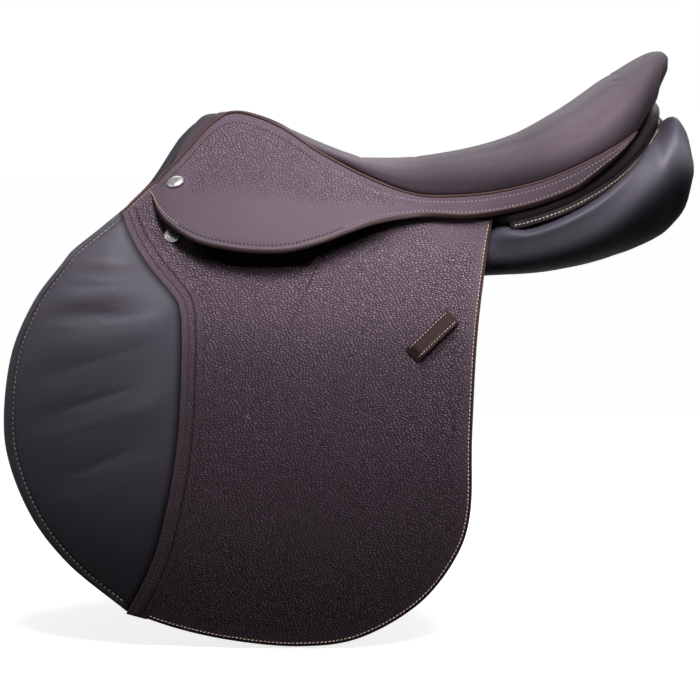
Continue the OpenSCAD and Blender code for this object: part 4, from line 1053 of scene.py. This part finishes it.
def makeBand(name, sign):
    line = pathThrough(flapAt(padBackRows), band["step"])
    t = alongPath(line)
    behind = np.stack([-t[:, 1], t[:, 0]], axis=1)
    behind *= np.sign(behind[len(behind) // 2, 0])
    toFoot = smooth(1 - np.arange(len(line))[::-1] * band["step"] / band["turnIn"])[:, None]
    behind = unit(mix(behind, np.array(band["footWay"]), toFoot))
    across, high = np.array(bandRows).T
    xz = line[:, None] + behind[:, None] * across[None, :, None]
    off = flapOff(xz)
    rings = np.concatenate([onSide(xz, high + off, sign), onSide(xz, off - band["under"], sign)[:, ::-1]],
                           axis=1)
    hidden = np.zeros((len(line), len(across)))
    grain = 0.3 + 0.5 * ramp(across, 2, 8) + hidden
    wear = 0.8 * (1 - ramp(across, -0.4, 1.0)) + hidden
    # painted shade in the stitch groove and along the crease
    grooveShade = 1 - 0.55 * bell(across - band["stitchIn"], 0.5) - 0.7 * bell(across - band["crease"], 0.6)
    shade = flapShade(line)[:, None] * np.append(grooveShade, grooveShade[::-1])
    values = dict(grain=ended(np.hstack([grain, hidden]), 0), wear=ended(np.hstack([wear, hidden]), 0),
                  tone=ended(shade, 1))
    piece = putMesh(name + "KneeBand", *loft(rings), ["grained"], None, values)
    foldFlap(settle(piece, None, finish="grained_leather"))
    seam = line + behind * band["stitchIn"]
    row = stitchRow(name + "BandStitch", onSide(seam, band["stitchHigh"] + flapOff(seam), sign),
                    sideNormal(seam, flapOff, sign), "brownThread", thick=0.36)
    foldFlap(row)


for name, sign in sides.items():
    makeKneePad(name, sign)
    makeBand(name, sign)
print("knee pads made")

# roll under the cantle, panels and the facing of the pommel
rollRows = [[0.62, 0.83, 0.665], [0.674, 0.88, 0.66], [0.746, 0.91, 0.665], [0.818, 0.88, 0.695],
            [0.866, 0.81, 0.755], [0.908, 0.68, 0.86], [0.943, 0.48, 1.0], [0.957, 0.25, 1.1],
            [0.962, 0, 1.14]]
roll = dict(radius=7.6, sides=24, step=3.0, thinEnd=0.45, taper=5, flange=(-38.0, 6.6, 1.4), sunk=0.8,
            lean=0.22, stitchIn=3.6, stitchPitch=3.4, stitchThick=0.5)


def rollPath():
    p = np.asarray(rollRows, float)
    half = np.stack([xAt(p[:, 0]), -p[:, 1] * seat["wide"] / 2, p[:, 2] * seat["weltLow"] + liftZ(p[:, 0])],
                    axis=1)
    return pathThrough(np.vstack([half, (half * [1, -1, 1])[-2::-1]]), roll["step"])


def makeRoll():
    path = rollPath()
    grow = mix(roll["thinEnd"], 1, smooth(fromEnds(path) / roll["taper"]))
    rings = tubeRings(path, roll["radius"] * grow, roll["sides"])
    piece = putMesh("cantleRoll", *loft(rings), ["roll"], values=dict(grain=0.3, wear=0.0))
    settle(piece, "saddle", "cantle_roll", finish="roll_leather")
    t = alongPath(path)
    out = unit(np.cross(t, [0.0, 0.0, 1.0]))
    out *= np.sign((out * (path * [0.3, 1, 0] + [1e-6, 0, 0])).sum(1, keepdims=True))
    up = np.cross(t, out) * np.sign(np.cross(t, out)[:, 2:])
    # the sewn edge of the roll's cover: a flat strip hanging from its underside
    turn, drop, thick = roll["flange"]
    a = math.radians(turn)
    root = path + (out * math.cos(a) + up * math.sin(a)) * (roll["radius"] - roll["sunk"])
    way, face = unit(roll["lean"] * out - up), unit(out + roll["lean"] * up)
    outer = root[:, None] + way[:, None] * np.linspace(0, drop, 8)[None, :, None] + face[:, None] * thick / 2
    rings = np.concatenate([outer, (outer - face[:, None] * thick)[:, ::-1]], axis=1)[4:-4]
    strip = putMesh("rollFlange", *loft(rings), ["roll"], None, dict(grain=0.3))
    settle(strip, "saddle", finish="roll_leather")
    seam = root + way * roll["stitchIn"] + face * thick / 2
    settle(stitchRow("rollStitch", seam[5:-5], face[5:-5], "paleThread", pitch=roll["stitchPitch"],
                     thick=roll["stitchThick"]), "saddle")


makeRoll()

# panel, shares along the seat: height, half width and half depth of the oval, and how far it leans, in
# degrees
panelRows = [[-0.129, 0.82, 0.2, 0.07, 48], [-0.105, 0.82, 0.27, 0.136, 48], [-0.02, 0.76, 0.31, 0.16, 47],
             [0.105, 0.59, 0.29, 0.2, 38], [0.254, 0.455, 0.275, 0.273, 25],
             [0.403, 0.364, 0.265, 0.333, 15], [0.552, 0.315, 0.29, 0.318, 12],
             [0.652, 0.241, 0.365, 0.318, 9], [0.751, 0.168, 0.4, 0.38, 7], [0.851, 0.102, 0.39, 0.49, 5],
             [0.925, 0.14, 0.35, 0.64, 2], [0.955, 0.19, 0.325, 0.69, 1], [0.988, 0.305, 0.28, 0.72, 0],
             [1.022, 0.318, 0.19, 0.48, 0], [1.038, 0.318, 0.05, 0.1, 0]]
panel = dict(sewn=(0.5, 13.0), columns=110, around=56, channel=33.0, endShare=0.29, rake=0.8, square=0.65,
             round=0.95, swell=2.5)
# how high on the oval, from -1 to 1, and the share of the plain tone: a painted highlight on its upper face,
# painted shade below it and under the roll
panelShadeRows = [[-1, 0.05], [-0.3, 0.1], [-0.15, 0.22], [0, 0.45], [0.17, 1.0], [0.34, 1.5], [0.5, 1.6],
                 [0.65, 1.25], [0.8, 0.95], [1, 0.7]]


# panel: squarish ovals along the saddle, leaning in at the front and rising behind with the cantle
def makePanel(name, sign):
    first, last = panelRows[0][0], panelRows[-1][0]
    a = np.linspace(0, 1, panel["columns"])[:, None]
    u = first + (last - first) * np.where(a > 0.5, 1 - 0.5 * (2 - 2 * a) ** 1.35, 0.5 * (2 * a) ** 1.2)
    z = seat["weltLow"] * curve(panelRows, u) + liftZ(u)
    wide = side["foldW"] * curve(panelRows, u, 2)
    deep = seat["weltLow"] * curve(panelRows, u, 3)
    lean = np.radians(curve(panelRows, u, 4))
    cosL, sinL = np.cos(lean), np.sin(lean)
    y = panel["channel"] + np.where(u > 0.9, np.maximum(wide, panel["endShare"] * side["foldW"]),
                                    wide) * cosL
    turn = anglesRound(panel["around"])[None]
    cosT, sinT = np.cos(turn), np.sin(turn)
    # boxy towards the channel, rounder on the outer face behind the flap
    square = np.where(cosT > 0, mix(panel["square"], panel["round"], ramp(u, 0.5, 0.15)), panel["square"])
    p, q = wide * signedPower(cosT, square), deep * signedPower(sinT, square)
    h = q * cosL - p * sinL
    rake = panel["rake"] * (1 - smooth(4 * u + 0.4))
    # behind the flap the top of each oval is drawn out and up to the seam under the roll
    out, up = panel["sewn"]
    seamY = curve(rollRows[:8], u) * seat["wide"] / 2 + out
    seamZ = curve(rollRows[:8], u, 2) * seat["weltLow"] + liftZ(u) - up
    held = ramp(u, 0.56, 0.08) * (1 - ramp(u, 0.945, 0.06))
    pull = np.maximum(sinT, 0) ** 2 * held
    topY, topZ = y + deep * sinL, z + deep * cosL
    rise = np.where(seamZ < topZ, ramp(u, 0.63, 0.06), 1) * (seamZ - topZ)
    rings = np.stack([xAt(u) + rake * h, sign * (y + p * cosL + q * sinL + pull * (seamY - topY)),
                      z + h + pull * rise], axis=-1)
    # painted highlight on the upper face of the oval, painted shade below it and under the roll
    tone = np.broadcast_to(curve(panelShadeRows, sinT), rings.shape[:2])
    piece = putMesh(name + "Panel", *loft(rings), ["calf"], None,
                    dict(grain=0.4, wear=0.0, tone=ended(tone, 1)))
    under = smooth((-sinT - 0.05) / 0.5) * smooth((u - first) / 0.05)
    outer = ramp(cosT, 0.1, 0.4) * smooth((0.75 - sinT) / 0.5) * ramp(u, 0.64, 0.06)
    free = np.maximum(under, outer) * smooth((last - u) / 0.02)
    plump(piece, ended(1 - free, 1), panel["swell"], like="panel")
    return settle(piece, "saddle", name + "_panel", finish="calf_leather")


for name, sign in sides.items():
    makePanel(name, sign)

# pommel: the facing wrapped over the arch in front of the skirts, and the panels' rolled front edge
# before it; rows: x, half width, height, radius, from the midline down the near side
pommelRows = [[-149, 0, 126, 9], [-152, 9, 126, 9.5], [-158, 17, 124.5, 9.5], [-165, 25, 117, 8.5],
              [-175, 39, 105, 6.5], [-183.5, 53, 93, 4.8], [-191, 64, 83.5, 3.6], [-200, 73, 72, 3.0]]
frontRows = [[-155, 0, 124, 6], [-159, 9, 124, 6.2], [-166, 18, 121.5, 6.2], [-176.5, 31, 111.5, 5.6],
             [-182, 41, 103.5, 5.4], [-188, 54, 93.5, 5.2], [-194.5, 65, 83, 5.0], [-200.5, 74, 74.5, 4.8],
             [-208, 82, 66.5, 4.6], [-218, 89, 57, 4.2], [-226, 94, 47, 3.0]]
pommel = dict(sides=20, step=2.5)


# tube over the arch through the rows and their mirror, its radius eased between them
def archTube(rows):
    half = np.asarray(rows, float) * [1, -1, 1, 1]
    line = pathThrough(np.vstack([half[::-1], (half * [1, -1, 1, 1])[1:]]), pommel["step"])
    return loft(tubeRings(line[:, :3], line[:, 3], pommel["sides"]))


def makePommel():
    piece = putMesh("pommelFacing", *archTube(pommelRows), ["seat"],
                    values=dict(grain=0.4, wear=0.0, tone=0.7))
    settle(piece, "saddle", "pommel_facing", finish="seat_leather")
    front = putMesh("panelFront", *archTube(frontRows), ["calf"], values=dict(grain=0.4, wear=0.0, tone=0.5))
    settle(front, "saddle", finish="calf_leather")


makePommel()
print("roll, panels and pommel made")

# nails: domed heads turned round their own axis, one kind on the skirt, the other on the flap in front of it
nailLook = dict(high=3.2, foot=0.22, footWide=0.96, flat=0.8, rounds=40, rows=12)
nailX = {"skirt": xAt(-0.048), "flap": flapRearX - 0.658 * side["flapW"]}
nailKinds = {"skirt": dict(across=15.0, onSkirt=1.0, z=mix(tipZ, skirtTopZ(np.array(nailX["skirt"])), 0.3)),
             "flap": dict(across=15.0 * 0.87, onSkirt=0.0, z=mix(side["foldZ"], skirt["foldZ"], 0.58))}


def nailHead(x, kind, sign):
    xz = np.array([[x, float(kind["z"])]])

    def off(q):
        return kind["onSkirt"] * skirtStand(q[..., 0], q[..., 1])
    n = sideNormal(xz, off, sign, 1.0)[0]
    base = onSide(xz, off(xz), sign)[0] + clear * n
    a = unit(np.cross(n, [0.0, 0.0, 1.0]))
    b = np.cross(n, a)
    s = np.linspace(0, 1, nailLook["rows"])[:-1] * np.pi / 2
    half = kind["across"] / 2
    radius = np.append(half * nailLook["footWide"], half * np.cos(s) ** nailLook["flat"])[:, None, None]
    high = np.append(0.0, nailLook["high"] * mix(nailLook["foot"], 1, np.sin(s)))[:, None, None]
    turn = anglesRound(nailLook["rounds"])[None, :, None]
    points, faces = loft(base + high * n + radius * (np.cos(turn) * a + np.sin(turn) * b))
    return points, faces if signedVolume(points, faces) > 0 else [f[:, ::-1] for f in faces]


def makeNails():
    for label, kind in nailKinds.items():
        (near, faces), (far, mirrored) = (nailHead(nailX[label], kind, sign) for sign in sides.values())
        both = [np.vstack([f, g + len(near)]) for f, g in zip(faces, mirrored)]
        piece = putMesh(label + "Nails", np.vstack([near, far]), both, ["nickel"])
        settle(piece, "saddle", label + "_nails", finish="nickel")


makeNails()

facing = dict(end=0.995, rows=40, across=41, inset=0.6, thick=1.5)


# cantle facing: the underside of the cantle behind the roll, level across and drawn in like the seat's rim
def makeCantleFacing():
    u = np.linspace(seat["stripShare"], facing["end"], facing["rows"])[:, None]
    s = np.linspace(-1, 1, facing["across"])[None]
    rim = seatAt(u, np.ones_like(s), 0)
    wide = (halfW(u) - seat["hide"] - facing["inset"]) * s
    top = np.stack([rim[..., 0] + 0 * s, wide, rimZ(u) + facing["thick"] + 0 * s], axis=-1)
    rings = np.concatenate([top, (top - [0, 0, facing["thick"]])[:, ::-1]], axis=1)
    piece = putMesh("cantleFacing", *loft(rings), ["seat"], values=dict(grain=0.4, wear=0.0))
    settle(piece, "saddle", "cantle_facing", finish="seat_leather")


makeCantleFacing()

# keeper: a strap arched over the flap along its length, with a rounded section
keeper = dict(at=(32.84, -46.7), turn=43.3, long=46.0, wide=15.0, thick=2.5, gap=5.2, rise=7.0, stitchIn=2.2)


def makeKeeper(name, sign):
    k = keeper
    half, thick = k["wide"] / 2, k["thick"] / 2
    d = np.linspace(-1, 1, 61) * k["long"] / 2
    way = np.array([math.cos(math.radians(k["turn"])), math.sin(math.radians(k["turn"]))])
    xz = np.array(k["at"]) + d[:, None] * way
    n = sideNormal(xz, flapOff, sign)
    high = k["gap"] * smooth((k["long"] / 2 - np.abs(d)) / k["rise"]) + thick
    path = onSide(xz, flapOff(xz), sign) + n * high[:, None]
    t = alongPath(path)
    across = unit(np.cross(n, t))
    up = np.cross(t, across)
    a = anglesRound(28)[None]
    w = half * signedPower(np.cos(a), 0.22)
    h = thick * signedPower(np.sin(a), 0.6) * (1 + 0.12 * (1 - (w / half) ** 2))
    rings = path[:, None] + across[:, None] * w[..., None] + up[:, None] * h[..., None]
    rubbed = np.tile(0.8 * smooth((np.abs(w[0]) / half - 0.88) * 9), len(d))
    piece = putMesh(name + "Keeper", *loft(rings), ["strap"], None, dict(grain=0.5, wear=ended(rubbed, 0)))
    settle(piece, name + "_flap", name + "_keeper", finish="strap_leather")
    outward = up * np.sign((up * n).sum(1).mean())
    for label, out in (("KeeperStitchA", 1), ("KeeperStitchB", -1)):
        line = path + across * out * (half - k["stitchIn"]) + up * thick * 1.02
        settle(stitchRow(name + label, line[4:-4], outward[4:-4], "paleThread", pitch=2.9, long=2.0,
                         thick=0.38), name + "_flap")


for name, sign in sides.items():
    makeKeeper(name, sign)

# layers behind the flap, each so far in from its outer face: buckle guard, girth straps, sweat flap
layer = dict(gap=0.9, guard=2.5, strap=4.0, sweat=3.5, dip=15.0)
guardAt = -(side["flapT"] + layer["gap"])
strapAt = guardAt - layer["guard"] - layer["gap"]
sweatAt = strapAt - layer["strap"] - layer["gap"]
hangShare = math.cos(math.atan(side["flare"]))
blockMiddle = flapAt([[0.8, 0.35]])[0]


# how far the knee block pushes the sweat flap in: a smooth mound
def dip(q):
    a = (q[..., 0] - blockMiddle[0]) / (0.27 * side["flapW"])
    b = (q[..., 1] - blockMiddle[1]) / (0.5 * side["flapL"])
    return layer["dip"] * np.maximum(0, 1 - a * a - b * b) ** 2


# sweat flap: the flap's own edge drawn in about its middle, closed along a level top
sweat = dict(share=0.93, middle=(0.5, 0.36), top=30.0, topEnds=(0.82, 0.08), rings=36)


def makeSweatFlap(name, sign):
    middle = flapAt([sweat["middle"]])[0]
    around = middle + (pathThrough(flapAt(flapRows), 4.0) - middle) * sweat["share"]
    ends = np.array([[flapRearX - s * side["flapW"], sweat["top"]] for s in sweat["topEnds"]])
    outline = np.vstack([around, evenSteps(np.vstack([around[-1:], ends, around[:1]]), 4.0)[1:-1]])
    points, faces, flags, _ = cutSheet(outline, middle, layer["sweat"], lambda q: sweatAt - dip(q), sign,
                                       sweat["rings"])
    piece = putMesh(name + "SweatFlap", points, faces, ["calf", "edge"], flags, dict(grain=0.5, tone=0.5))
    settle(piece, "saddle", name + "_sweat_flap", finish="calf_leather")


# knee block between the two flaps: a rounded pad, full in the middle and thin at its edge
block = dict(edge=7.0, rings=24,
             shares=[[0.71, 0.13], [0.71, 0.25], [0.73, 0.4], [0.755, 0.55], [0.81, 0.63], [0.87, 0.57],
                     [0.895, 0.43], [0.885, 0.28], [0.835, 0.13], [0.76, 0.075], [0.71, 0.13]])


def makeKneeBlock(name, sign):
    outline = pathThrough(flapAt(block["shares"]), 3.0)[:-1]

    def face(q):
        return guardAt - layer["guard"] * (1 - smooth(nearestTo(q, outline) / 16))

    def back(q):
        return sweatAt - 0.75 * dip(q) + 4 * clear
    points, faces, *_ = cutSheet(outline, blockMiddle, block["edge"], face, sign, block["rings"],
                                 backAt=back)
    piece = putMesh(name + "KneeBlock", points, faces, ["calf"], None, dict(grain=0.5, tone=0.5))
    settle(piece, "saddle", name + "_knee_block", finish="calf_leather")


# buckle guard: a plain plate with its lower corners cut off, on the slope of the flap
guard = dict(half=56.0, drop=90.0, x=xAt(0.373), rings=16)


def makeGuard(name, sign):
    w, l = guard["half"], guard["drop"]
    corners = np.array([[-w, 0], [w, 0], [w, w / 2 - l], [w / 1.4, -l], [-w / 1.4, -l], [-w, w / 2 - l],
                        [-w, 0]])
    outline = evenSteps(corners * [1, hangShare] + [guard["x"], side["foldZ"]], 3.0)[:-1]
    points, faces, flags, _ = cutSheet(outline, outline.mean(0), layer["guard"],
                                       lambda q: guardAt + 0 * q[..., 0], sign, guard["rings"])
    piece = putMesh(name + "BuckleGuard", points, faces, ["strap", "edge"], flags, dict(grain=0.5))
    settle(piece, "saddle", name + "_buckle_guard", finish="strap_leather")


# girth strap: a flat sheet of rows with a ring of quads round each hole, then thickened and its edges
# rounded
girth = dict(wide=25.0, long=235.0, hole=2.5, pitch=22.0, holes=7, apart=36.0, across=6,
             rings=(0, 0.4, 0.75, 0.92, 1), slack=0.1, soft=0.7)
strapNames = {"front": -1, "middle": 0, "rear": 1}


def strapSheet():
    w, l, n = girth["wide"] / 2, girth["long"], girth["across"]
    even = np.linspace(-1, 1, n + 1)
    first = 1.2 * girth["wide"] - l
    cellLow, cellTop = first - girth["pitch"] / 2, first + (girth["holes"] - 0.5) * girth["pitch"]
    top = np.linspace(cellTop, girth["wide"] / 6, 12)
    tip = np.concatenate([np.linspace(-l, w - l, 6), [cellLow]])
    blocks = []
    for levels in (top, tip):
        half = np.interp(-levels, [0, l - w, l], [w, w, w / 3])
        grid = np.stack([half[:, None] * even[None], np.repeat(levels[:, None], n + 1, 1)], axis=-1)
        blocks.append(grid.reshape(-1, 2)[gridQuads(len(levels), n + 1)])
    # square round one hole, then the same points on the hole's own circle, with rings between
    e, one = even[:-1], np.ones(n)
    square = np.concatenate([np.stack(pair, 1) for pair in ((e, -one), (one, e), (-e, one), (-one, -e))])
    circle = unit(square) * girth["hole"]
    ring = np.stack([mix(square * [w, girth["pitch"] / 2], circle, k) for k in girth["rings"]])
    around = ring.reshape(-1, 2)[gridQuads(len(ring), len(square), roundColumns=True)]
    blocks += [around + [0, first + k * girth["pitch"]] for k in range(girth["holes"])]
    corners = np.vstack(blocks)
    flat, index = np.unique(np.round(corners.reshape(-1, 2), 4), axis=0, return_inverse=True)
    return flat, index.reshape(-1, 4)


def makeStraps(name, sign):
    flat, quads = strapSheet()
    for label, k in strapNames.items():
        xz = flat * [1, hangShare] + [guard["x"] + k * girth["apart"], side["foldZ"]]
        points = onSide(xz, strapAt - layer["strap"] / 2, sign)
        piece = putMesh(name + label.title() + "Strap", points, [quads], ["strap"], None, dict(grain=0.5))
        thick = piece.modifiers.new("thick", "SOLIDIFY")
        thick.thickness, thick.offset = (layer["strap"] - girth["slack"]) * hangShare * mm, 0.0
        soft = piece.modifiers.new("soft", "BEVEL")
        soft.width, soft.segments, soft.limit_method = girth["soft"] * mm, 2, "ANGLE"
        node = name + "_" + label + "_billet"
        settle(piece, node, node, finish="strap_leather")


# webbing under the seat and over each rail, and the lining over the channel: open sheets of rows, then
# thickened
web = dict(thick=0.8, rail=9.0, railShare=0.62, foam=14.0, sewn=1.2, seatEnds=(0.15, 0.76), above=2.1,
           topShare=0.87, endShare=0.62)


def foamZ(u, y):
    s = np.arcsin(np.clip(y / halfW(u), -1, 1)) / (np.pi / 2)
    return (seatAt(u, s, seat["hide"] + clear)[..., 2]
            - web["foam"] * np.maximum(np.cos(np.pi / 2 * s), 0) ** 0.8 - web["sewn"])


def railAt(u):
    y = web["railShare"] * halfW(u)
    w = np.minimum(4 / 3 * web["rail"], 0.3 * halfW(u))
    return y, w, np.minimum(foamZ(u, y - w), foamZ(u, y + w)) - 2 * clear


def openSheet(name, grid, finishKey, thick, values):
    n, m = grid.shape[:2]
    piece = putMesh(name, grid.reshape(-1, 3), [gridQuads(n, m)], [finishKey], None, values)
    solid = piece.modifiers.new("thick", "SOLIDIFY")
    solid.thickness, solid.offset = thick * mm, 0.0
    return piece


def makeSeatWeb():
    u = np.linspace(*web["seatEnds"], 40)[:, None]
    y, w, _ = railAt(u)
    across = (y - w - layer["gap"]) * np.linspace(-1, 1, 25)[None]
    grid = np.stack([xAt(u) + 0 * across, across, foamZ(u, across) - 2.5 * clear - layer["gap"] / 2],
                    axis=-1)
    piece = openSheet("seatWeb", grid, "webbing", web["thick"], None)
    settle(piece, "saddle", "seat_web", finish="webbing")


def makeGirthWeb(name, sign):
    half = girth["apart"] + girth["wide"] / 2
    x = guard["x"] + np.linspace(-half, half, 25)[:, None]
    z = np.linspace(side["foldZ"] + girth["wide"] / 6 + web["above"], web["topShare"] * seat["weltLow"],
                    16)[None]
    xz = np.stack([x + 0 * z, z + 0 * x], axis=-1)
    low = onSide(xz, strapAt - 1.2 * layer["gap"], sign)
    y, w, top = railAt(uAt(x))
    end = np.stack([x, sign * (y + w + 2 * clear), top - web["endShare"] * web["rail"]], axis=-1)
    rise = np.linspace(0, 1, 9)[1:][None, :, None]
    grid = np.concatenate([low, mix(low[:, -1:], end, rise)], axis=1)
    piece = openSheet(name + "GirthWeb", grid, "webbing", web["thick"], None)
    settle(piece, "saddle", name + "_girth_web", finish="webbing")


# lining: shares of the seat length, of the welt height for its middle and for its crown
liningRows = [[-0.07, 1.38, 0.2], [0, 1.4, 0.2], [0.105, 1.26, 0.16], [0.254, 0.88, 0.08],
              [0.403, 0.68, 0.04], [0.552, 0.602, 0.03], [0.652, 0.553, 0.03], [0.751, 0.548, 0.03],
              [0.851, 0.59, 0.03], [0.93, 0.713, 0.03]]


def makeLining():
    u = np.linspace(-0.07, 0.93, 90)[:, None]
    s = np.linspace(-1, 1, 21)[None]
    z = (liftZ(u) + seat["weltLow"] * (curve(liningRows, u) - curve(liningRows, u, 2) * s * s)
         - layer["gap"] / 2)
    grid = np.stack([xAt(u) + 0 * s, 0.94 * panel["channel"] * s + 0 * u, z], axis=-1)
    piece = openSheet("channelLining", grid, "calf", web["thick"], dict(grain=0.5, tone=0.5))
    settle(piece, "saddle", "channel_lining", finish="calf_leather")


makeSeatWeb()
makeLining()
for name, sign in sides.items():
    makeSweatFlap(name, sign)
    makeKneeBlock(name, sign)
    makeGuard(name, sign)
    makeStraps(name, sign)
    makeGirthWeb(name, sign)
print("layers behind the flaps made")

# CAD pieces that keep their shape take a finish
kept = {"steel": ["head_plate", "left_stirrup_bar", "right_stirrup_bar", "left_bar_catch", "right_bar_catch",
                  "left_catch_pin", "right_catch_pin"],
        "wood": ["tree_head", "tree_cantle", "left_tree_rail", "right_tree_rail", "left_tree_point",
                 "right_tree_point"]}
for key, names in kept.items():
    for name in names:
        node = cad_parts[name]
        node.data.materials.clear()
        node.data.materials.append(finish[key])
print("kept pieces finished")

# floor, light and camera
stageLook = dict(lampColour=(0.97, 0.94, 1.0), floorZ=cadBox[0][2] - 0.002, half=14.0,
                 floorTone=(0.8, 0.8, 0.8, 1), floorGlow=(0.4, 2.0, 0.8, 0.97), glossShare=0.3,
                 worldLight=0.03)
# lamps: power, size, place, aim and spread
lamps = {"key": (1.45, 0.4, (-0.15, -0.78, 1.3), (-0.06, -0.1, 0.12), 36.0),
         "side": (1.1, 0.5, (0.3, -1.0, 0.95), (0.2, -0.1, 0.09), 24.0),
         "top": (0.55, 0.8, (0.2, -0.1, 1.25), (0.12, 0, 0.05), 90.0),
         "fill": (0.5, 0.9, (-1.5, -0.5, 0.55), (-0.1, 0, 0), 90.0),
         "back": (4.5, 1.4, (0.1, 1.35, 0.7), (0, 0.1, -0.05), 120.0),
         "rear": (1.1, 0.9, (1.5, 0.15, 0.6), (0.15, 0, 0.05), 90.0)}
camera = dict(target=(-0.035, 0.0, -0.071), away=2.5, lift=5.0, lens=146.9, sensor=36.0, far=60.0)


# floor: white to the camera and through glass, dimmer in a shiny face, and plain pale to all else, so
# that only the shadow it takes darkens it
def paleFinish():
    m, tree, bsdf, place = newFinish("paleFloor")
    away = addNode(tree, "ShaderNodeVectorMath", dict(operation="LENGTH"), i0=place).outputs["Value"]
    glow = mapped(tree, away, dict(zip(("From Min", "From Max", "To Min", "To Max"),
                                       stageLook["floorGlow"])),
                  dict(interpolation_type="SMOOTHSTEP"))
    plug(tree, bsdf, {"Base Color": stageLook["floorTone"], "Roughness": 0.9, "Specular IOR Level": 0.0,
                      "Emission Strength": mathNode(tree, "MULTIPLY", seenBy(tree), glow),
                      "Emission Color": (1, 1, 1, 1)})
    return m


# one for a ray from the camera or through glass, and a share of it for one off a shiny face
def seenBy(tree):
    path = tree.nodes.new("ShaderNodeLightPath")
    mirrored = mathNode(tree, "MULTIPLY", path.outputs["Is Glossy Ray"], stageLook["glossShare"])
    return mathNode(tree, "MAXIMUM", path.outputs["Is Camera Ray"],
                    mathNode(tree, "MAXIMUM", mirrored, path.outputs["Is Transmission Ray"]))


def makeStage():
    h, z = stageLook["half"], stageLook["floorZ"]
    mesh = bpy.data.meshes.new("floor")
    mesh.from_pydata([(-h, -h, z), (h, -h, z), (h, h, z), (-h, h, z)], [], [(0, 1, 2, 3)])
    mesh.materials.append(paleFinish())
    putObject("floor", mesh)
    world = bpy.data.worlds.new("studio")
    bpy.context.scene.world = world
    world.use_nodes = True
    tree = world.node_tree
    tree.nodes.clear()
    seen = seenBy(tree)
    light = addNode(tree, "ShaderNodeBackground", Color=(1, 1, 1, 1), Strength=stageLook["worldLight"])
    white = addNode(tree, "ShaderNodeBackground", Color=(1, 1, 1, 1), Strength=1.0)
    both = addNode(tree, "ShaderNodeMixShader", i0=seen, i1=light.outputs[0], i2=white.outputs[0])
    out = tree.nodes.new("ShaderNodeOutputWorld")
    tree.links.new(both.outputs[0], out.inputs[0])


def lamp(name, power, size, at, aim, spread):
    data = bpy.data.lights.new(name, "AREA")
    data.energy, data.size, data.spread = power, size, math.radians(spread)
    data.color = stageLook["lampColour"]
    obj = putObject(name, data)
    obj.location = at
    step = np.array(aim, float) - np.array(at, float)
    flat = math.hypot(step[0], step[1])
    obj.rotation_euler = (math.atan2(flat, -step[2]), 0, math.atan2(-step[0], step[1]))


makeStage()
for key, settings in lamps.items():
    lamp(key, *settings)

view = bpy.data.cameras.new("view")
view.lens, view.sensor_width, view.clip_end = camera["lens"], camera["sensor"], camera["far"]
eye = putObject("view", view)
a = math.radians(camera["lift"])
eye.location = (camera["target"][0], camera["target"][1] - camera["away"] * math.cos(a),
                camera["target"][2] + camera["away"] * math.sin(a))
eye.rotation_euler = (math.pi / 2 - a, 0, 0)
bpy.context.scene.camera = eye
bpy.context.scene.view_settings.view_transform = "Standard"

print("scene ready")
